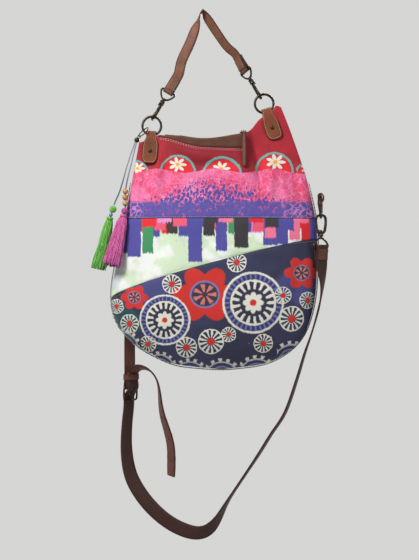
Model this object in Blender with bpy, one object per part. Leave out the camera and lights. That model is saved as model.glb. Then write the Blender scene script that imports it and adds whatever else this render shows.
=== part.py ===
"""Patchwork hobo shoulder bag, hanging by its handle.

Metres, +Z up, the front faces -Y. The origin is the underside of the handle's
apex, where the bag hangs. Every piece is one closed solid in its own object.
"""

import math

import bmesh
import bpy
from mathutils import Matrix, Vector

# Clearances
TOUCH_GAP = 0.0004
PIVOT_GAP = 0.0005

# Bag body
ZIP_LINE_Z = -0.2090
BAG_BOTTOM_Z = -0.6069
CLOTH_THICKNESS = 0.0020
BELLY_DEPTH = 0.047
MOUTH_DEPTH = 0.013
SEAM_HALF_GAP = 0.0016
SIDE_ROUNDNESS = 2.4
RIGHT_EAR_RISE = 0.049
EAR_DEPTH = 0.0022
BAND_SEAM_Z = -0.3535
SEAM_GAP = 0.0006
PANEL_COLUMNS = 26
PANEL_ROWS = 22
BACK_COLUMNS = 18
BACK_ROWS = 15
PIPING_RADIUS = 0.0011

# Zip
ZIP_LEFT_X = -0.063
ZIP_RIGHT_X = 0.078
ZIP_LEFT_Z = -0.2050
ZIP_RIGHT_Z = -0.2085
TAPE_THICKNESS = 0.0008
TEETH_WIDTH = 0.0019
TEETH_HEIGHT = 0.0030
TEETH_ROW_GAP = 0.0014
TEETH_PITCH = 0.0050
SLIDER_LENGTH = 0.013
SLIDER_WIDTH = 0.0095
SLIDER_PLATE = 0.0013
PULLER_LENGTH = 0.056
PULLER_WIDTH = 0.0075
LINK_WIRE = 0.0013

# Leather
HANDLE_WIDTH = 0.0175
HANDLE_THICKNESS = 0.0026
HANDLE_STEP = 0.009
STRAP_WIDTH = 0.024
STRAP_THICKNESS = 0.0030
STRAP_STEP = 0.0125
LEFT_TAB_WIDTH = 0.021
RIGHT_TAB_WIDTH = 0.025
RIVET_DROP = 0.028
TAB_NECK = 0.016
TAB_THICKNESS = 0.0022
TAB_LENGTH = 0.049
TAB_SEAT = 0.0014
SIDE_TAB_WIDTH = 0.016
SIDE_TAB_LENGTH = 0.0255
SIDE_TAB_SLACK = 0.0010
SIDE_TAB_LEAN = 0.004
KEEPER_THICKNESS = 0.0016
KEEPER_HEIGHT = 0.010
KEEPER_LIFT = 0.0165

# Metal
RING_OUTER = 0.036
RING_WIRE = 0.0043
SIDE_RING_OUTER = 0.040
HOOK_LOOP_RADIUS = 0.0076
HOOK_LOOP_DROP = 0.0205
HOOK_WIRE = 0.0040
COLLAR_HEIGHT = 0.0080
COLLAR_OUTER = 0.0092
SWIVEL_PIN = 0.0034
SWIVEL_HEAD = 0.0054
EYE_BAR_HEIGHT = 0.0265
EYE_WIRE = 0.0034
EYE_SIDE_ROOM = 0.0034

# Charm
BEAD_DIAMETER = 0.0095
BALL_DIAMETER = 0.0094
CORD_DIAMETER = 0.0024
TASSEL_LENGTH = 0.090

FRONT = -1
BACK = 1
UP = Vector((0, 0, 1))
ACROSS = Vector((1, 0, 0))
DEEP = Vector((0, 1, 0))


def clear_scene():
    for old in list(bpy.data.objects):
        bpy.data.objects.remove(old, do_unlink=True)


def finish(name, colour, roughness=0.6, metallic=0.0):
    """A material with the piece's own colour."""
    material = bpy.data.materials.new(name)
    material.use_nodes = True
    shader = material.node_tree.nodes["Principled BSDF"]
    shader.inputs["Base Color"].default_value = (*colour, 1.0)
    shader.inputs["Roughness"].default_value = roughness
    shader.inputs["Metallic"].default_value = metallic
    material.diffuse_color = (*colour, 1.0)
    return material


def leather(name):
    return finish(name, (0.15, 0.055, 0.032), 0.55)


def tab_leather(name):
    return finish(name, (0.19, 0.065, 0.030), 0.5)


def old_metal(name):
    return finish(name, (0.12, 0.10, 0.085), 0.35, 0.9)


def add_piece(name, bm, material, pivot=None, place=None):
    """Turns a bmesh into a named object, carried by the pivot that it moves with."""
    bmesh.ops.recalc_face_normals(bm, faces=bm.faces)
    mesh = bpy.data.meshes.new(name)
    bm.to_mesh(mesh)
    bm.free()
    mesh.shade_smooth()
    mesh.set_sharp_from_angle(angle=math.radians(40))
    piece = bpy.data.objects.new(name, mesh)
    bpy.context.scene.collection.objects.link(piece)
    for one in material if isinstance(material, (list, tuple)) else [material]:
        mesh.materials.append(one)
    if place is not None:
        piece.matrix_world = place
    if pivot is not None:
        piece.parent = pivot
        piece.matrix_parent_inverse = pivot.matrix_world.inverted()
    return piece


def add_pivot(name, place, parent=None):
    """An empty on a joint's axis, which carries the pieces that move about it."""
    pivot = bpy.data.objects.new(name, None)
    bpy.context.scene.collection.objects.link(pivot)
    pivot.empty_display_size = 0.01
    pivot.matrix_world = Matrix.Translation(place)
    bpy.context.view_layer.update()
    if parent is not None:
        pivot.parent = parent
        pivot.matrix_parent_inverse = parent.matrix_world.inverted()
        bpy.context.view_layer.update()
    return pivot


def smooth_curve(stations):
    """A smooth function through (position, value) pairs, by cubic pieces."""
    places = [float(place) for place, _ in stations]
    values = [float(value) for _, value in stations]
    slopes = []
    for i in range(len(places)):
        before = max(i - 1, 0)
        after = min(i + 1, len(places) - 1)
        slopes.append((values[after] - values[before]) / (places[after] - places[before]))

    def value_at(place):
        if place <= places[0]:
            return values[0]
        if place >= places[-1]:
            return values[-1]
        k = max(i for i in range(len(places)) if places[i] <= place)
        span = places[k + 1] - places[k]
        t = (place - places[k]) / span
        return ((2 * t**3 - 3 * t**2 + 1) * values[k] + (t**3 - 2 * t**2 + t) * span * slopes[k]
                + (3 * t**2 - 2 * t**3) * values[k + 1] + (t**3 - t**2) * span * slopes[k + 1])

    return value_at


def smooth_path(points, spacing):
    """Evenly spaced samples of a smooth curve through tuples of numbers."""
    rows = [tuple(float(value) for value in point) for point in points]
    lengths = [0.0]
    for a, b in zip(rows, rows[1:]):
        lengths.append(lengths[-1] + math.dist(a[:3], b[:3]))
    channels = [smooth_curve([(s, row[k]) for s, row in zip(lengths, rows)]) for k in range(len(rows[0]))]
    count = max(2, round(lengths[-1] / spacing))
    return [tuple(channel(lengths[-1] * i / count) for channel in channels) for i in range(count + 1)]


def smooth_step(t):
    t = min(max(t, 0.0), 1.0)
    return t * t * (3 - 2 * t)


def loft(bm, sections, closed=False):
    """Skins a row of like sections, capped at both ends unless it closes on itself."""
    loops = [[bm.verts.new(point) for point in section] for section in sections]
    pairs = list(zip(loops, loops[1:])) + ([(loops[-1], loops[0])] if closed else [])
    for a, b in pairs:
        for i in range(len(a)):
            j = (i + 1) % len(a)
            bm.faces.new((a[i], a[j], b[j], b[i]))
    if not closed:
        bm.faces.new(loops[0])
        bm.faces.new(reversed(loops[-1]))
    return bm


def tangents(centres, closed=False):
    count = len(centres)
    result = []
    for i in range(count):
        before = centres[i - 1] if closed else centres[max(i - 1, 0)]
        after = centres[(i + 1) % count] if closed else centres[min(i + 1, count - 1)]
        result.append((after - before).normalized())
    return result


def ribbon(bm, stations, thickness):
    """A leather strip: stations are (centre, width direction, width)."""
    centres = [station[0] for station in stations]
    sections = []
    for (centre, across, width), along in zip(stations, tangents(centres)):
        side = (across - along * across.dot(along)).normalized()
        face = along.cross(side)
        w = width / 2
        t = thickness / 2
        outline = ((w, t), (w, -t), (-w, -t), (-w, t))
        sections.append([centre + side * a + face * b for a, b in outline])
    return loft(bm, sections)


def wire(bm, centres, radius, sides=8, closed=False, across=None):
    """A round wire along a path. A list of radii tapers it."""
    sections = []
    radii = radius if isinstance(radius, list) else [radius] * len(centres)
    for centre, along, r in zip(centres, tangents(centres, closed), radii):
        reference = across or (DEEP if abs(along.y) < 0.9 else UP)
        side = (reference - along * reference.dot(along)).normalized()
        other = along.cross(side)
        turns = [math.tau * k / sides for k in range(sides)]
        sections.append([centre + (side * math.cos(a) + other * math.sin(a)) * r for a in turns])
    return loft(bm, sections, closed)


def turned(bm, profile, axis_place, axis, sides=16):
    """A turned solid. The profile gives (height along the axis, radius) from pole to pole."""
    axis = axis.normalized()
    side = axis.orthogonal().normalized()
    other = axis.cross(side)
    sections = []
    for height, r in profile:
        turns = [math.tau * k / sides for k in range(sides)]
        sections.append([axis_place + axis * height + (side * math.cos(a) + other * math.sin(a)) * r for a in turns])
    return loft(bm, sections)


def ball_profile(diameter, steps=8, cut=0.25):
    """The turned profile of a bead, with small flats at both poles."""
    r = diameter / 2
    first = math.asin(cut)
    angles = [first + (math.pi - 2 * first) * i / steps for i in range(steps + 1)]
    return [(-r * math.cos(a), r * math.sin(a)) for a in angles]


# The bag's outline, as heights with the left and the right edge

LEFT_EDGE = smooth_curve([
    (-0.6069, 0.032), (-0.6020, -0.028), (-0.5990, -0.052), (-0.5884, -0.0714), (-0.5738, -0.1010),
    (-0.5560, -0.1220), (-0.5364, -0.1403), (-0.5177, -0.1490), (-0.4800, -0.1535), (-0.4225, -0.1440),
    (-0.3545, -0.1309), (-0.2950, -0.1190), (-0.2185, -0.1054), (-0.1900, -0.1010)])
RIGHT_EDGE = smooth_curve([
    (-0.6069, 0.034), (-0.6047, 0.081), (-0.5976, 0.1078), (-0.5857, 0.1350), (-0.5653, 0.1615),
    (-0.5449, 0.1751), (-0.5151, 0.1853), (-0.4803, 0.1921), (-0.4259, 0.1950), (-0.3970, 0.1955),
    (-0.3545, 0.1925), (-0.3205, 0.1853), (-0.2780, 0.1751), (-0.2525, 0.1666), (-0.2185, 0.1547),
    (-0.1760, 0.1394), (-0.1560, 0.1300)])
DEPTH_SHARE = smooth_curve([
    (-0.6069, 0.05), (-0.6020, 0.26), (-0.5940, 0.44), (-0.5800, 0.64), (-0.5550, 0.86), (-0.5100, 1.0),
    (-0.4500, 0.96), (-0.3800, 0.78), (-0.3000, 0.50), (-0.2400, 0.32), (-0.2090, 0.277), (-0.1500, 0.23)])
EAR_RISE = smooth_curve([
    (-1.0, -0.014), (-0.90, -0.011), (-0.76, -0.009), (-0.66, -0.004), (-0.58, 0.0), (0.30, 0.0), (0.44, 0.002),
    (0.543, 0.016), (0.668, 0.029), (0.755, 0.031), (0.861, 0.040), (0.95, RIGHT_EAR_RISE), (1.0, 0.046)])
EAR_PINCH = smooth_curve([(-1.0, 1.0), (-0.80, 1.0), (-0.68, 0.0), (0.50, 0.0), (0.64, 0.9), (0.75, 1.0), (1.0, 1.0)])

# Soft folds: x and z at the top, x and z at the bottom, depth, half width
FOLDS = (
    (0.086, -0.205, 0.104, -0.300, 0.0105, 0.011),
    (-0.060, -0.215, -0.068, -0.340, 0.0050, 0.010),
    (0.030, -0.215, 0.020, -0.300, 0.0035, 0.014),
    (0.150, -0.260, 0.120, -0.350, 0.0040, 0.010),
)


def fold_depth(x, z):
    total = 0.0
    for x_top, z_top, x_low, z_low, depth, half_width in FOLDS:
        t = (z_top - z) / (z_top - z_low)
        if -0.3 < t < 1.2:
            centre = x_top + (x_low - x_top) * t
            fade = smooth_step((t + 0.3) / 0.3) * (1 - smooth_step((t - 0.55) / 0.65))
            total += depth * fade * math.exp(-((x - centre) / half_width) ** 2)
    return total


def bag_point(s, v, side):
    """A point on the bag's cloth: s from -1 at the left seam to 1 at the right, v from 0 at the top."""
    z_level = ZIP_LINE_Z - (ZIP_LINE_Z - BAG_BOTTOM_Z) * (0.35 * v + 0.65 * math.sin(math.pi * v / 2))
    u = math.sin(math.pi / 2 * s)
    z = z_level + EAR_RISE(u) * (1 - smooth_step(v / 0.16))
    left = LEFT_EDGE(z)
    right = RIGHT_EDGE(z)
    x = left + (right - left) * (u + 1) / 2
    depth = BELLY_DEPTH * DEPTH_SHARE(z)
    swell = (1 - abs(u) ** SIDE_ROUNDNESS) ** (1 / SIDE_ROUNDNESS)
    y = SEAM_HALF_GAP + (depth - SEAM_HALF_GAP) * swell
    pinch = EAR_PINCH(u) * (1 - smooth_step((v - 0.02) / 0.13))
    y += (min(y, EAR_DEPTH) - y) * pinch
    if side == FRONT:
        y -= fold_depth(x, z) * swell
    return Vector((x, side * y, z))


def bag_side_point(z, s, side):
    """The same surface at a given height below the ears."""
    low = 0.0
    high = 1.0
    for _ in range(30):
        middle = (low + high) / 2
        if bag_point(s, middle, side).z > z:
            low = middle
        else:
            high = middle
    return bag_point(s, low, side)


def bag_depth(x, z, side=FRONT):
    """How far the cloth stands from the seam plane at x and z."""
    low = -1.0
    high = 1.0
    for _ in range(30):
        middle = (low + high) / 2
        if bag_side_point(z, middle, side).x < x:
            low = middle
        else:
            high = middle
    return abs(bag_side_point(z, low, side).y)


def bag_sheet(side, columns, rows):
    """The cloth of one side, as a thin sheet."""
    bm = bmesh.new()
    grid = []
    for i in range(rows + 1):
        s_values = [-1 + 2 * j / columns for j in range(columns + 1)]
        grid.append([bm.verts.new(bag_point(s, i / rows, side)) for s in s_values])
    for a, b in zip(grid, grid[1:]):
        for j in range(columns):
            bm.faces.new((a[j], b[j], b[j + 1], a[j + 1]))
    return bm


def cut_sheet(bm, place, normal, keep_below):
    """Trims a sheet at a seam plane, half a seam gap away from it."""
    normal = normal.normalized()
    shift = normal * (SEAM_GAP / 2) * (-1 if keep_below else 1)
    bmesh.ops.bisect_plane(
        bm, geom=bm.verts[:] + bm.edges[:] + bm.faces[:], dist=1e-6, plane_co=place + shift, plane_no=normal,
        clear_outer=keep_below, clear_inner=not keep_below)


def mark_colours(bm, place, normal, index):
    """Divides a sheet at a plane and gives the side above it another colour."""
    bmesh.ops.bisect_plane(
        bm, geom=bm.verts[:] + bm.edges[:] + bm.faces[:], dist=1e-6, plane_co=place, plane_no=normal)
    for face in bm.faces:
        if (face.calc_center_median() - place).dot(normal) > 0:
            face.material_index = index


def sew_cloth(name, bm, materials, pivot):
    """Gives a sheet of cloth its thickness."""
    piece = add_piece(name, bm, materials, pivot)
    wall = piece.modifiers.new("cloth", "SOLIDIFY")
    wall.thickness = CLOTH_THICKNESS
    wall.offset = 0
    wall.use_even_offset = True
    return piece


# The seam between the white and the dark patch runs up to the right and bows over the belly
DIAGONAL_PLACE = Vector((-0.1470, 0.0, -0.4880))
DIAGONAL_NORMAL = Vector((-0.280, 0.34, 1.0))


def make_front_panels(pivot):
    band_place = Vector((0, 0, BAND_SEAM_Z))
    top = bag_sheet(FRONT, PANEL_COLUMNS, PANEL_ROWS)
    cut_sheet(top, band_place, UP, False)
    mark_colours(top, Vector((0, 0, -0.308)), UP, 1)
    mark_colours(top, Vector((0, 0, -0.276)), Vector((0.05, 0, 1)).normalized(), 2)
    top_colours = [finish("leaf_blue_print", (0.16, 0.10, 0.33), 0.85), finish("pink_print", (0.66, 0.09, 0.22), 0.85),
                   finish("crimson_print", (0.36, 0.02, 0.035), 0.85)]
    sew_cloth("front_top_panel", top, top_colours, pivot)

    middle = bag_sheet(FRONT, PANEL_COLUMNS, PANEL_ROWS)
    cut_sheet(middle, band_place, UP, True)
    cut_sheet(middle, DIAGONAL_PLACE, DIAGONAL_NORMAL, False)
    mark_colours(middle, Vector((0, 0, -0.395)), UP, 1)
    middle_colours = [finish("pale_print", (0.62, 0.66, 0.55), 0.85), finish("stroke_print", (0.25, 0.10, 0.22), 0.85)]
    sew_cloth("front_middle_panel", middle, middle_colours, pivot)

    lower = bag_sheet(FRONT, PANEL_COLUMNS, PANEL_ROWS)
    cut_sheet(lower, DIAGONAL_PLACE, DIAGONAL_NORMAL, True)
    sew_cloth("front_lower_panel", lower, finish("navy_print", (0.020, 0.024, 0.055), 0.85), pivot)


def make_back_panel(pivot):
    back = bag_sheet(BACK, BACK_COLUMNS, BACK_ROWS)
    bmesh.ops.reverse_faces(back, faces=back.faces)
    sew_cloth("back_panel", back, finish("navy_canvas", (0.022, 0.026, 0.05), 0.9), pivot)


def make_seam_piping(pivot):
    """A thin corded edge round the sides and the bottom, just outside both panels."""
    left = [bag_point(-1, v / 20, FRONT) for v in range(3, 21)]
    right = [bag_point(1, v / 20, FRONT) for v in range(20, 2, -1)]
    outline = [Vector((p.x, 0, p.z)) for p in left + right]
    outline = [Vector(p) for p in smooth_path(outline, 0.026)]
    offset = CLOTH_THICKNESS / 2 + TOUCH_GAP + PIPING_RADIUS + 0.0004
    centres = [p + along.cross(DEEP).normalized() * -offset for p, along in zip(outline, tangents(outline))]
    bm = wire(bmesh.new(), centres, PIPING_RADIUS, 6)
    add_piece("seam_piping", bm, finish("piping_cord", (0.45, 0.42, 0.36), 0.9), pivot)


ZIP_START = Vector((ZIP_LEFT_X, 0, ZIP_LEFT_Z))
ZIP_END = Vector((ZIP_RIGHT_X, 0, ZIP_RIGHT_Z))
ZIP_ALONG = (ZIP_END - ZIP_START).normalized()
ZIP_UP = ZIP_ALONG.cross(DEEP).normalized()
if ZIP_UP.z < 0:
    ZIP_UP = -ZIP_UP
TAPE_FLAT = 0.0062


def top_edge(x, side):
    """The top edge of the cloth at x."""
    low = -1.0
    high = 1.0
    for _ in range(30):
        middle = (low + high) / 2
        if bag_point(middle, 0, side).x < x:
            low = middle
        else:
            high = middle
    return bag_point(low, 0, side)


def make_zip_tape(name, side, pivot):
    """The tape lies flat beside the teeth, then slopes down to the cloth."""
    steps = 20
    inner = TEETH_ROW_GAP / 2 + TEETH_WIDTH + TOUCH_GAP / 2
    bm = bmesh.new()
    sections = []
    for i in range(steps + 1):
        ridge = ZIP_START.lerp(ZIP_END - ZIP_ALONG * 0.003, i / steps)
        edge = top_edge(ridge.x, side)
        edge_y = abs(edge.y) - CLOTH_THICKNESS / 2 - TOUCH_GAP - TAPE_THICKNESS - 0.0006
        edge_z = edge.z - 0.004
        t = TAPE_THICKNESS / 2
        outline = ((inner, -t), (TAPE_FLAT, -t), (edge_y - t, edge_z - ridge.z), (edge_y + t, edge_z - ridge.z + t),
                   (TAPE_FLAT + t, t), (inner, t))
        sections.append([ridge + DEEP * side * a + UP * b for a, b in outline])
    loft(bm, sections)
    add_piece(name, bm, finish(name + "_cloth", (0.10, 0.045, 0.030), 0.85), pivot)


def make_zip_teeth(name, side, pivot):
    """One row of moulded teeth, as a bar with a notch between two teeth."""
    length = (ZIP_END - ZIP_START).length - 0.002
    count = int(length / TEETH_PITCH)
    bm = bmesh.new()
    sections = []
    near = TEETH_ROW_GAP / 2
    for k in range(count):
        for place, height in ((0.10, TEETH_HEIGHT), (0.60, TEETH_HEIGHT * 0.6)):
            centre = ZIP_START + ZIP_ALONG * (k + place) * TEETH_PITCH
            h = height / 2
            outline = ((near, -h), (near + TEETH_WIDTH, -h), (near + TEETH_WIDTH, h), (near, h))
            sections.append([centre + DEEP * side * a + ZIP_UP * b for a, b in outline])
    loft(bm, sections)
    add_piece(name, bm, finish(name + "_metal", (0.05, 0.045, 0.04), 0.4, 0.8), pivot)


def box(bm, centre, size, basis=None):
    """A block of the given size, turned by the basis."""
    turn = basis or Matrix.Identity(3)
    scale = Matrix.Diagonal(Vector(size)).to_4x4()
    bmesh.ops.create_cube(bm, size=1.0, matrix=Matrix.Translation(centre) @ turn.to_4x4() @ scale)
    return bm


def join_solids(target, extras):
    """Unites helper solids with the target, and hides them from the finished model."""
    for extra in extras:
        extra.hide_render = True
        extra.display_type = "WIRE"
        union = target.modifiers.new("unite", "BOOLEAN")
        union.operation = "UNION"
        union.solver = "EXACT"
        union.object = extra


def cut_solids(target, cutters):
    for cutter in cutters:
        cutter.hide_render = True
        cutter.display_type = "WIRE"
        cut = target.modifiers.new("cut", "BOOLEAN")
        cut.operation = "DIFFERENCE"
        cut.solver = "EXACT"
        cut.object = cutter


SLIDER_PLACE = ZIP_END - ZIP_ALONG * (SLIDER_LENGTH / 2 + 0.001)
PLATE_LIFT = TEETH_HEIGHT / 2 + PIVOT_GAP + SLIDER_PLATE / 2
LINK_BAR_LIFT = PLATE_LIFT + SLIDER_PLATE / 2 + PIVOT_GAP + LINK_WIRE / 2
LINK_PLACE = SLIDER_PLACE + ZIP_UP * LINK_BAR_LIFT


def make_zip_slider(pivot):
    """Two plates joined by a thin post between the rows of teeth, with a bridge for the pull."""
    basis = Matrix((ZIP_ALONG, DEEP, ZIP_UP)).transposed()
    lower_width = 2 * (TAPE_FLAT - 0.0012)
    bm = bmesh.new()
    box(bm, SLIDER_PLACE + ZIP_UP * PLATE_LIFT, (SLIDER_LENGTH, SLIDER_WIDTH, SLIDER_PLATE), basis)
    slider = add_piece("zip_slider", bm, old_metal("slider_metal"), pivot)
    bevel = slider.modifiers.new("round", "BEVEL")
    bevel.width = 0.0004
    bevel.segments = 1
    lower = add_piece("zip_slider_lower", box(
        bmesh.new(), SLIDER_PLACE - ZIP_UP * PLATE_LIFT, (SLIDER_LENGTH, lower_width, SLIDER_PLATE), basis),
        old_metal("lower_metal"), pivot)
    post = add_piece("zip_slider_post", box(
        bmesh.new(), SLIDER_PLACE, (0.004, TEETH_ROW_GAP - 2 * PIVOT_GAP + 0.0002, 2 * PLATE_LIFT), basis),
        old_metal("post_metal"), pivot)
    half = SLIDER_WIDTH / 2 - 0.0009
    top = LINK_BAR_LIFT + LINK_WIRE / 2 + PIVOT_GAP + 0.0006
    arch = [Vector((-half, PLATE_LIFT)), Vector((-half, top - 0.0012)), Vector((1.2 * 0.001 - half, top)),
            Vector((half - 0.0012, top)), Vector((half, top - 0.0012)), Vector((half, PLATE_LIFT))]
    centres = [SLIDER_PLACE + DEEP * p.x + ZIP_UP * p.y for p in arch]
    bridge = add_piece("zip_slider_bridge", wire(bmesh.new(), centres, 0.0008, 6, across=ZIP_ALONG),
                       old_metal("bridge_metal"), pivot)
    join_solids(slider, [lower, post, bridge])


LINK_HALF_WIDTH = 0.0034
LINK_REACH = MOUTH_DEPTH + 0.0058
LINK_DROP = 0.0060
PULLER_LEAN = BELLY_DEPTH * 0.125


def make_zip_pull(pivot):
    """A bent wire link through the slider's bridge, with a folded leather strip on it."""
    w = LINK_HALF_WIDTH
    corners = [(-w, 0, 0), (w, 0, 0), (w, -LINK_REACH * 0.9, 0), (w, -LINK_REACH, -0.002), (w, -LINK_REACH, -LINK_DROP),
               (-w, -LINK_REACH, -LINK_DROP), (-w, -LINK_REACH, -0.002), (-w, -LINK_REACH * 0.9, 0)]
    centres = []
    for i, corner in enumerate(corners):
        after = Vector(corners[(i + 1) % len(corners)])
        here = Vector(corner)
        step = after - here
        centres.append(LINK_PLACE + here + step.normalized() * min(0.0006, step.length / 3))
        centres.append(LINK_PLACE + after - step.normalized() * min(0.0006, step.length / 3))
    add_piece("zip_pull_link", wire(bmesh.new(), centres, LINK_WIRE / 2, 6, closed=True), old_metal("link_metal"), pivot)
    bar = LINK_PLACE + Vector((0, -LINK_REACH, -LINK_DROP))
    thickness = 0.0014
    radius = LINK_WIRE / 2 + PIVOT_GAP + thickness / 2
    layer = thickness / 2 + 0.0002
    narrow = 2 * (w - LINK_WIRE / 2 - PIVOT_GAP)
    stations = []
    drops = [PULLER_LENGTH * k / 10 for k in range(10, -1, -1)]
    for side_sign in (-1, 1):
        for drop in drops if side_sign < 0 else reversed(drops):
            out = radius + (layer - radius) * smooth_step(drop / 0.008)
            width = narrow + (PULLER_WIDTH - narrow) * smooth_step((drop - 0.002) / 0.006)
            width *= 1 - 0.35 * smooth_step((drop - PULLER_LENGTH + 0.006) / 0.006)
            lean = PULLER_LEAN * drop / PULLER_LENGTH
            stations.append((bar + Vector((0, side_sign * out - lean, -drop)), ACROSS, width))
        if side_sign < 0:
            for k in range(1, 6):
                turn = math.pi * k / 6
                place = bar + Vector((0, -radius * math.cos(turn), radius * math.sin(turn)))
                stations.append((place, ACROSS, narrow))
    add_piece("zip_puller", ribbon(bmesh.new(), stations, thickness), leather("puller_leather"), pivot)


def torus(bm, centre, normal, outer, wire_diameter, steps=24, sides=6):
    """A welded ring of round wire."""
    normal = normal.normalized()
    side = normal.orthogonal().normalized()
    other = normal.cross(side)
    radius = (outer - wire_diameter) / 2
    turns = [math.tau * k / steps for k in range(steps)]
    centres = [centre + (side * math.cos(a) + other * math.sin(a)) * radius for a in turns]
    return wire(bm, centres, wire_diameter / 2, sides, closed=True, across=normal)


# Snap hook, in its own frame: +Z to the swivel eye, +X to the gate, the origin under the collar

HOOK_BEARING = HOOK_LOOP_DROP + HOOK_LOOP_RADIUS - HOOK_WIRE / 2 - RING_WIRE / 2 - PIVOT_GAP
GATE_PIVOT = Vector((0.0060, 0, -0.0026))
GATE_TIP = Vector((HOOK_LOOP_RADIUS - 0.0002, 0, -HOOK_LOOP_DROP + 0.0042))


def make_snap_hook(prefix, place, pivot, gate_pivot):
    """The J of the hook with its collar, and the gate that closes it."""
    r = HOOK_LOOP_RADIUS
    spine = [(-0.0036, 0.0034), (-0.0060, -0.0006), (-0.0070, -0.0060), (-r, -0.0120), (-r, -HOOK_LOOP_DROP)]
    arc = [(-r * math.cos(a), -HOOK_LOOP_DROP - r * math.sin(a)) for a in [math.pi * k / 7 for k in range(1, 8)]]
    tip = [(r, -HOOK_LOOP_DROP + 0.0030)]
    centres = [Vector((x, 0, z)) for x, z in spine + arc + tip]
    radii = [0.0018, 0.0021] + [HOOK_WIRE / 2] * (len(centres) - 4) + [HOOK_WIRE / 2 - 0.0002, HOOK_WIRE / 2 - 0.0006]
    hook = add_piece(prefix + "_hook", wire(bmesh.new(), centres, radii, 6), old_metal(prefix + "_hook_metal"), None, place)
    collar = add_piece(prefix + "_collar", turned(
        bmesh.new(), [(0.0, COLLAR_OUTER * 0.46), (0.0010, COLLAR_OUTER / 2), (COLLAR_HEIGHT - 0.002, COLLAR_OUTER / 2),
                      (COLLAR_HEIGHT, COLLAR_OUTER * 0.40)], Vector(), UP, 14), old_metal(prefix + "_c"), None, place)
    cheeks = []
    for sign in (-1, 1):
        cheek = box(bmesh.new(), Vector((0.0052, sign * 0.0027, -0.0006)), (0.0044, 0.0011, 0.0066))
        cheeks.append(add_piece(prefix + "_cheek" + ("a" if sign < 0 else "b"), cheek, old_metal(prefix + "_k"), None, place))
    bore = add_piece(prefix + "_bore", turned(
        bmesh.new(), [(-0.004, SWIVEL_PIN / 2 + PIVOT_GAP), (COLLAR_HEIGHT + 0.004, SWIVEL_PIN / 2 + PIVOT_GAP)],
        Vector(), UP, 14), old_metal(prefix + "_b"), None, place)
    join_solids(hook, [collar] + cheeks)
    cut_solids(hook, [bore])
    carry([hook, collar, bore] + cheeks, pivot)
    make_gate(prefix, place, gate_pivot)


def carry(pieces, pivot):
    bpy.context.view_layer.update()
    for piece in pieces:
        piece.parent = pivot
        piece.matrix_parent_inverse = pivot.matrix_world.inverted()


def make_gate(prefix, place, gate_pivot):
    """The lever that shuts the hook's mouth, thicker where the thumb pushes it."""
    along = GATE_TIP - GATE_PIVOT
    sections = []
    for share, half_width, outer in ((-0.10, 0.0018, 0.0010), (0.44, 0.0017, 0.0010), (0.52, 0.0014, 0.0026),
                                     (0.70, 0.0014, 0.0026), (0.78, 0.0016, 0.0010), (1.0, 0.0015, 0.0009)):
        spot = GATE_PIVOT + along * share
        sections.append([spot + Vector((x, y, 0)) for x, y in (
            (outer, half_width), (outer, -half_width), (-0.0010, -half_width), (-0.0010, half_width))])
    gate = add_piece(prefix + "_gate", loft(bmesh.new(), sections), old_metal(prefix + "_gate_metal"), None, place)
    carry([gate], gate_pivot)


def make_swivel_eye(prefix, place, pivot):
    """A rounded wire triangle for the strap, on a pin that turns in the hook's collar."""
    width = HANDLE_WIDTH if "handle" in prefix else STRAP_WIDTH
    half = width / 2 + EYE_SIDE_ROOM
    low = COLLAR_HEIGHT + 0.0030
    outline = [(half - 0.002, EYE_BAR_HEIGHT), (half, EYE_BAR_HEIGHT - 0.002), (half - 0.001, EYE_BAR_HEIGHT - 0.006),
               (0.0045, low + 0.001), (0.0015, low)]
    right = [Vector((x, 0, z)) for x, z in outline]
    left = [Vector((-p.x, 0, p.z)) for p in reversed(right)]
    eye = add_piece(prefix + "_eye", wire(bmesh.new(), right + left, EYE_WIRE / 2, 6, closed=True),
                    old_metal(prefix + "_eye_metal"), None, place)
    head = SWIVEL_HEAD / 2
    pin = SWIVEL_PIN / 2
    profile = [(-0.0026, head * 0.7), (-0.0018, head), (-PIVOT_GAP, head), (-PIVOT_GAP, pin), (COLLAR_HEIGHT + PIVOT_GAP, pin),
               (COLLAR_HEIGHT + PIVOT_GAP, head), (low + 0.001, head * 0.7)]
    stem = add_piece(prefix + "_stem", turned(bmesh.new(), profile, Vector(), UP, 14), old_metal(prefix + "_s"), None, place)
    join_solids(eye, [stem])
    carry([eye, stem], pivot)


def hook_place(bearing, up, gate_side):
    """The frame of a hook whose loop bears on the ring wire at the given point."""
    up = up.normalized()
    gate = (gate_side - up * gate_side.dot(up)).normalized()
    basis = Matrix((gate, up.cross(gate), up)).transposed()
    origin = bearing + up * HOOK_BEARING
    return Matrix.Translation(origin) @ basis.to_4x4()


def folded_end(bar, along, across, width, thickness, bar_radius, run=0.034, tail=0.026):
    """Stations of a strap end that turns round a bar and lies back on itself."""
    across = (across - along * across.dot(along)).normalized()
    face = along.cross(across)
    radius = bar_radius + PIVOT_GAP + thickness / 2
    layer = thickness / 2 + TOUCH_GAP / 2
    stations = []
    for k in range(6, -1, -1):
        back = run * k / 6
        out = radius + (layer - radius) * smooth_step(back / 0.014)
        stations.append((bar - along * back + face * out, across, width))
    for k in range(1, 8):
        turn = math.pi * k / 8
        stations.append((bar + (face * math.cos(turn) + along * math.sin(turn)) * radius, across, width))
    for k in range(0, 6):
        back = tail * k / 5
        out = radius + (layer - radius) * smooth_step(back / 0.014)
        stations.append((bar - along * back - face * out, across, width))
    return stations


def turned_width(along, turn):
    """A width direction: 0 faces the camera, a right angle is edge-on."""
    flat = DEEP.cross(along).normalized()
    deep = along.cross(flat)
    return flat * math.cos(turn) + deep * math.sin(turn)


def strap_stations(points, width, spacing):
    """Stations through (x, y, z, turn in degrees) points."""
    rows = smooth_path(points, spacing)
    centres = [Vector(row[:3]) for row in rows]
    return [(centre, turned_width(along, math.radians(row[3])), width)
            for centre, row, along in zip(centres, rows, tangents(centres))]


# Where the metal hangs

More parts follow.
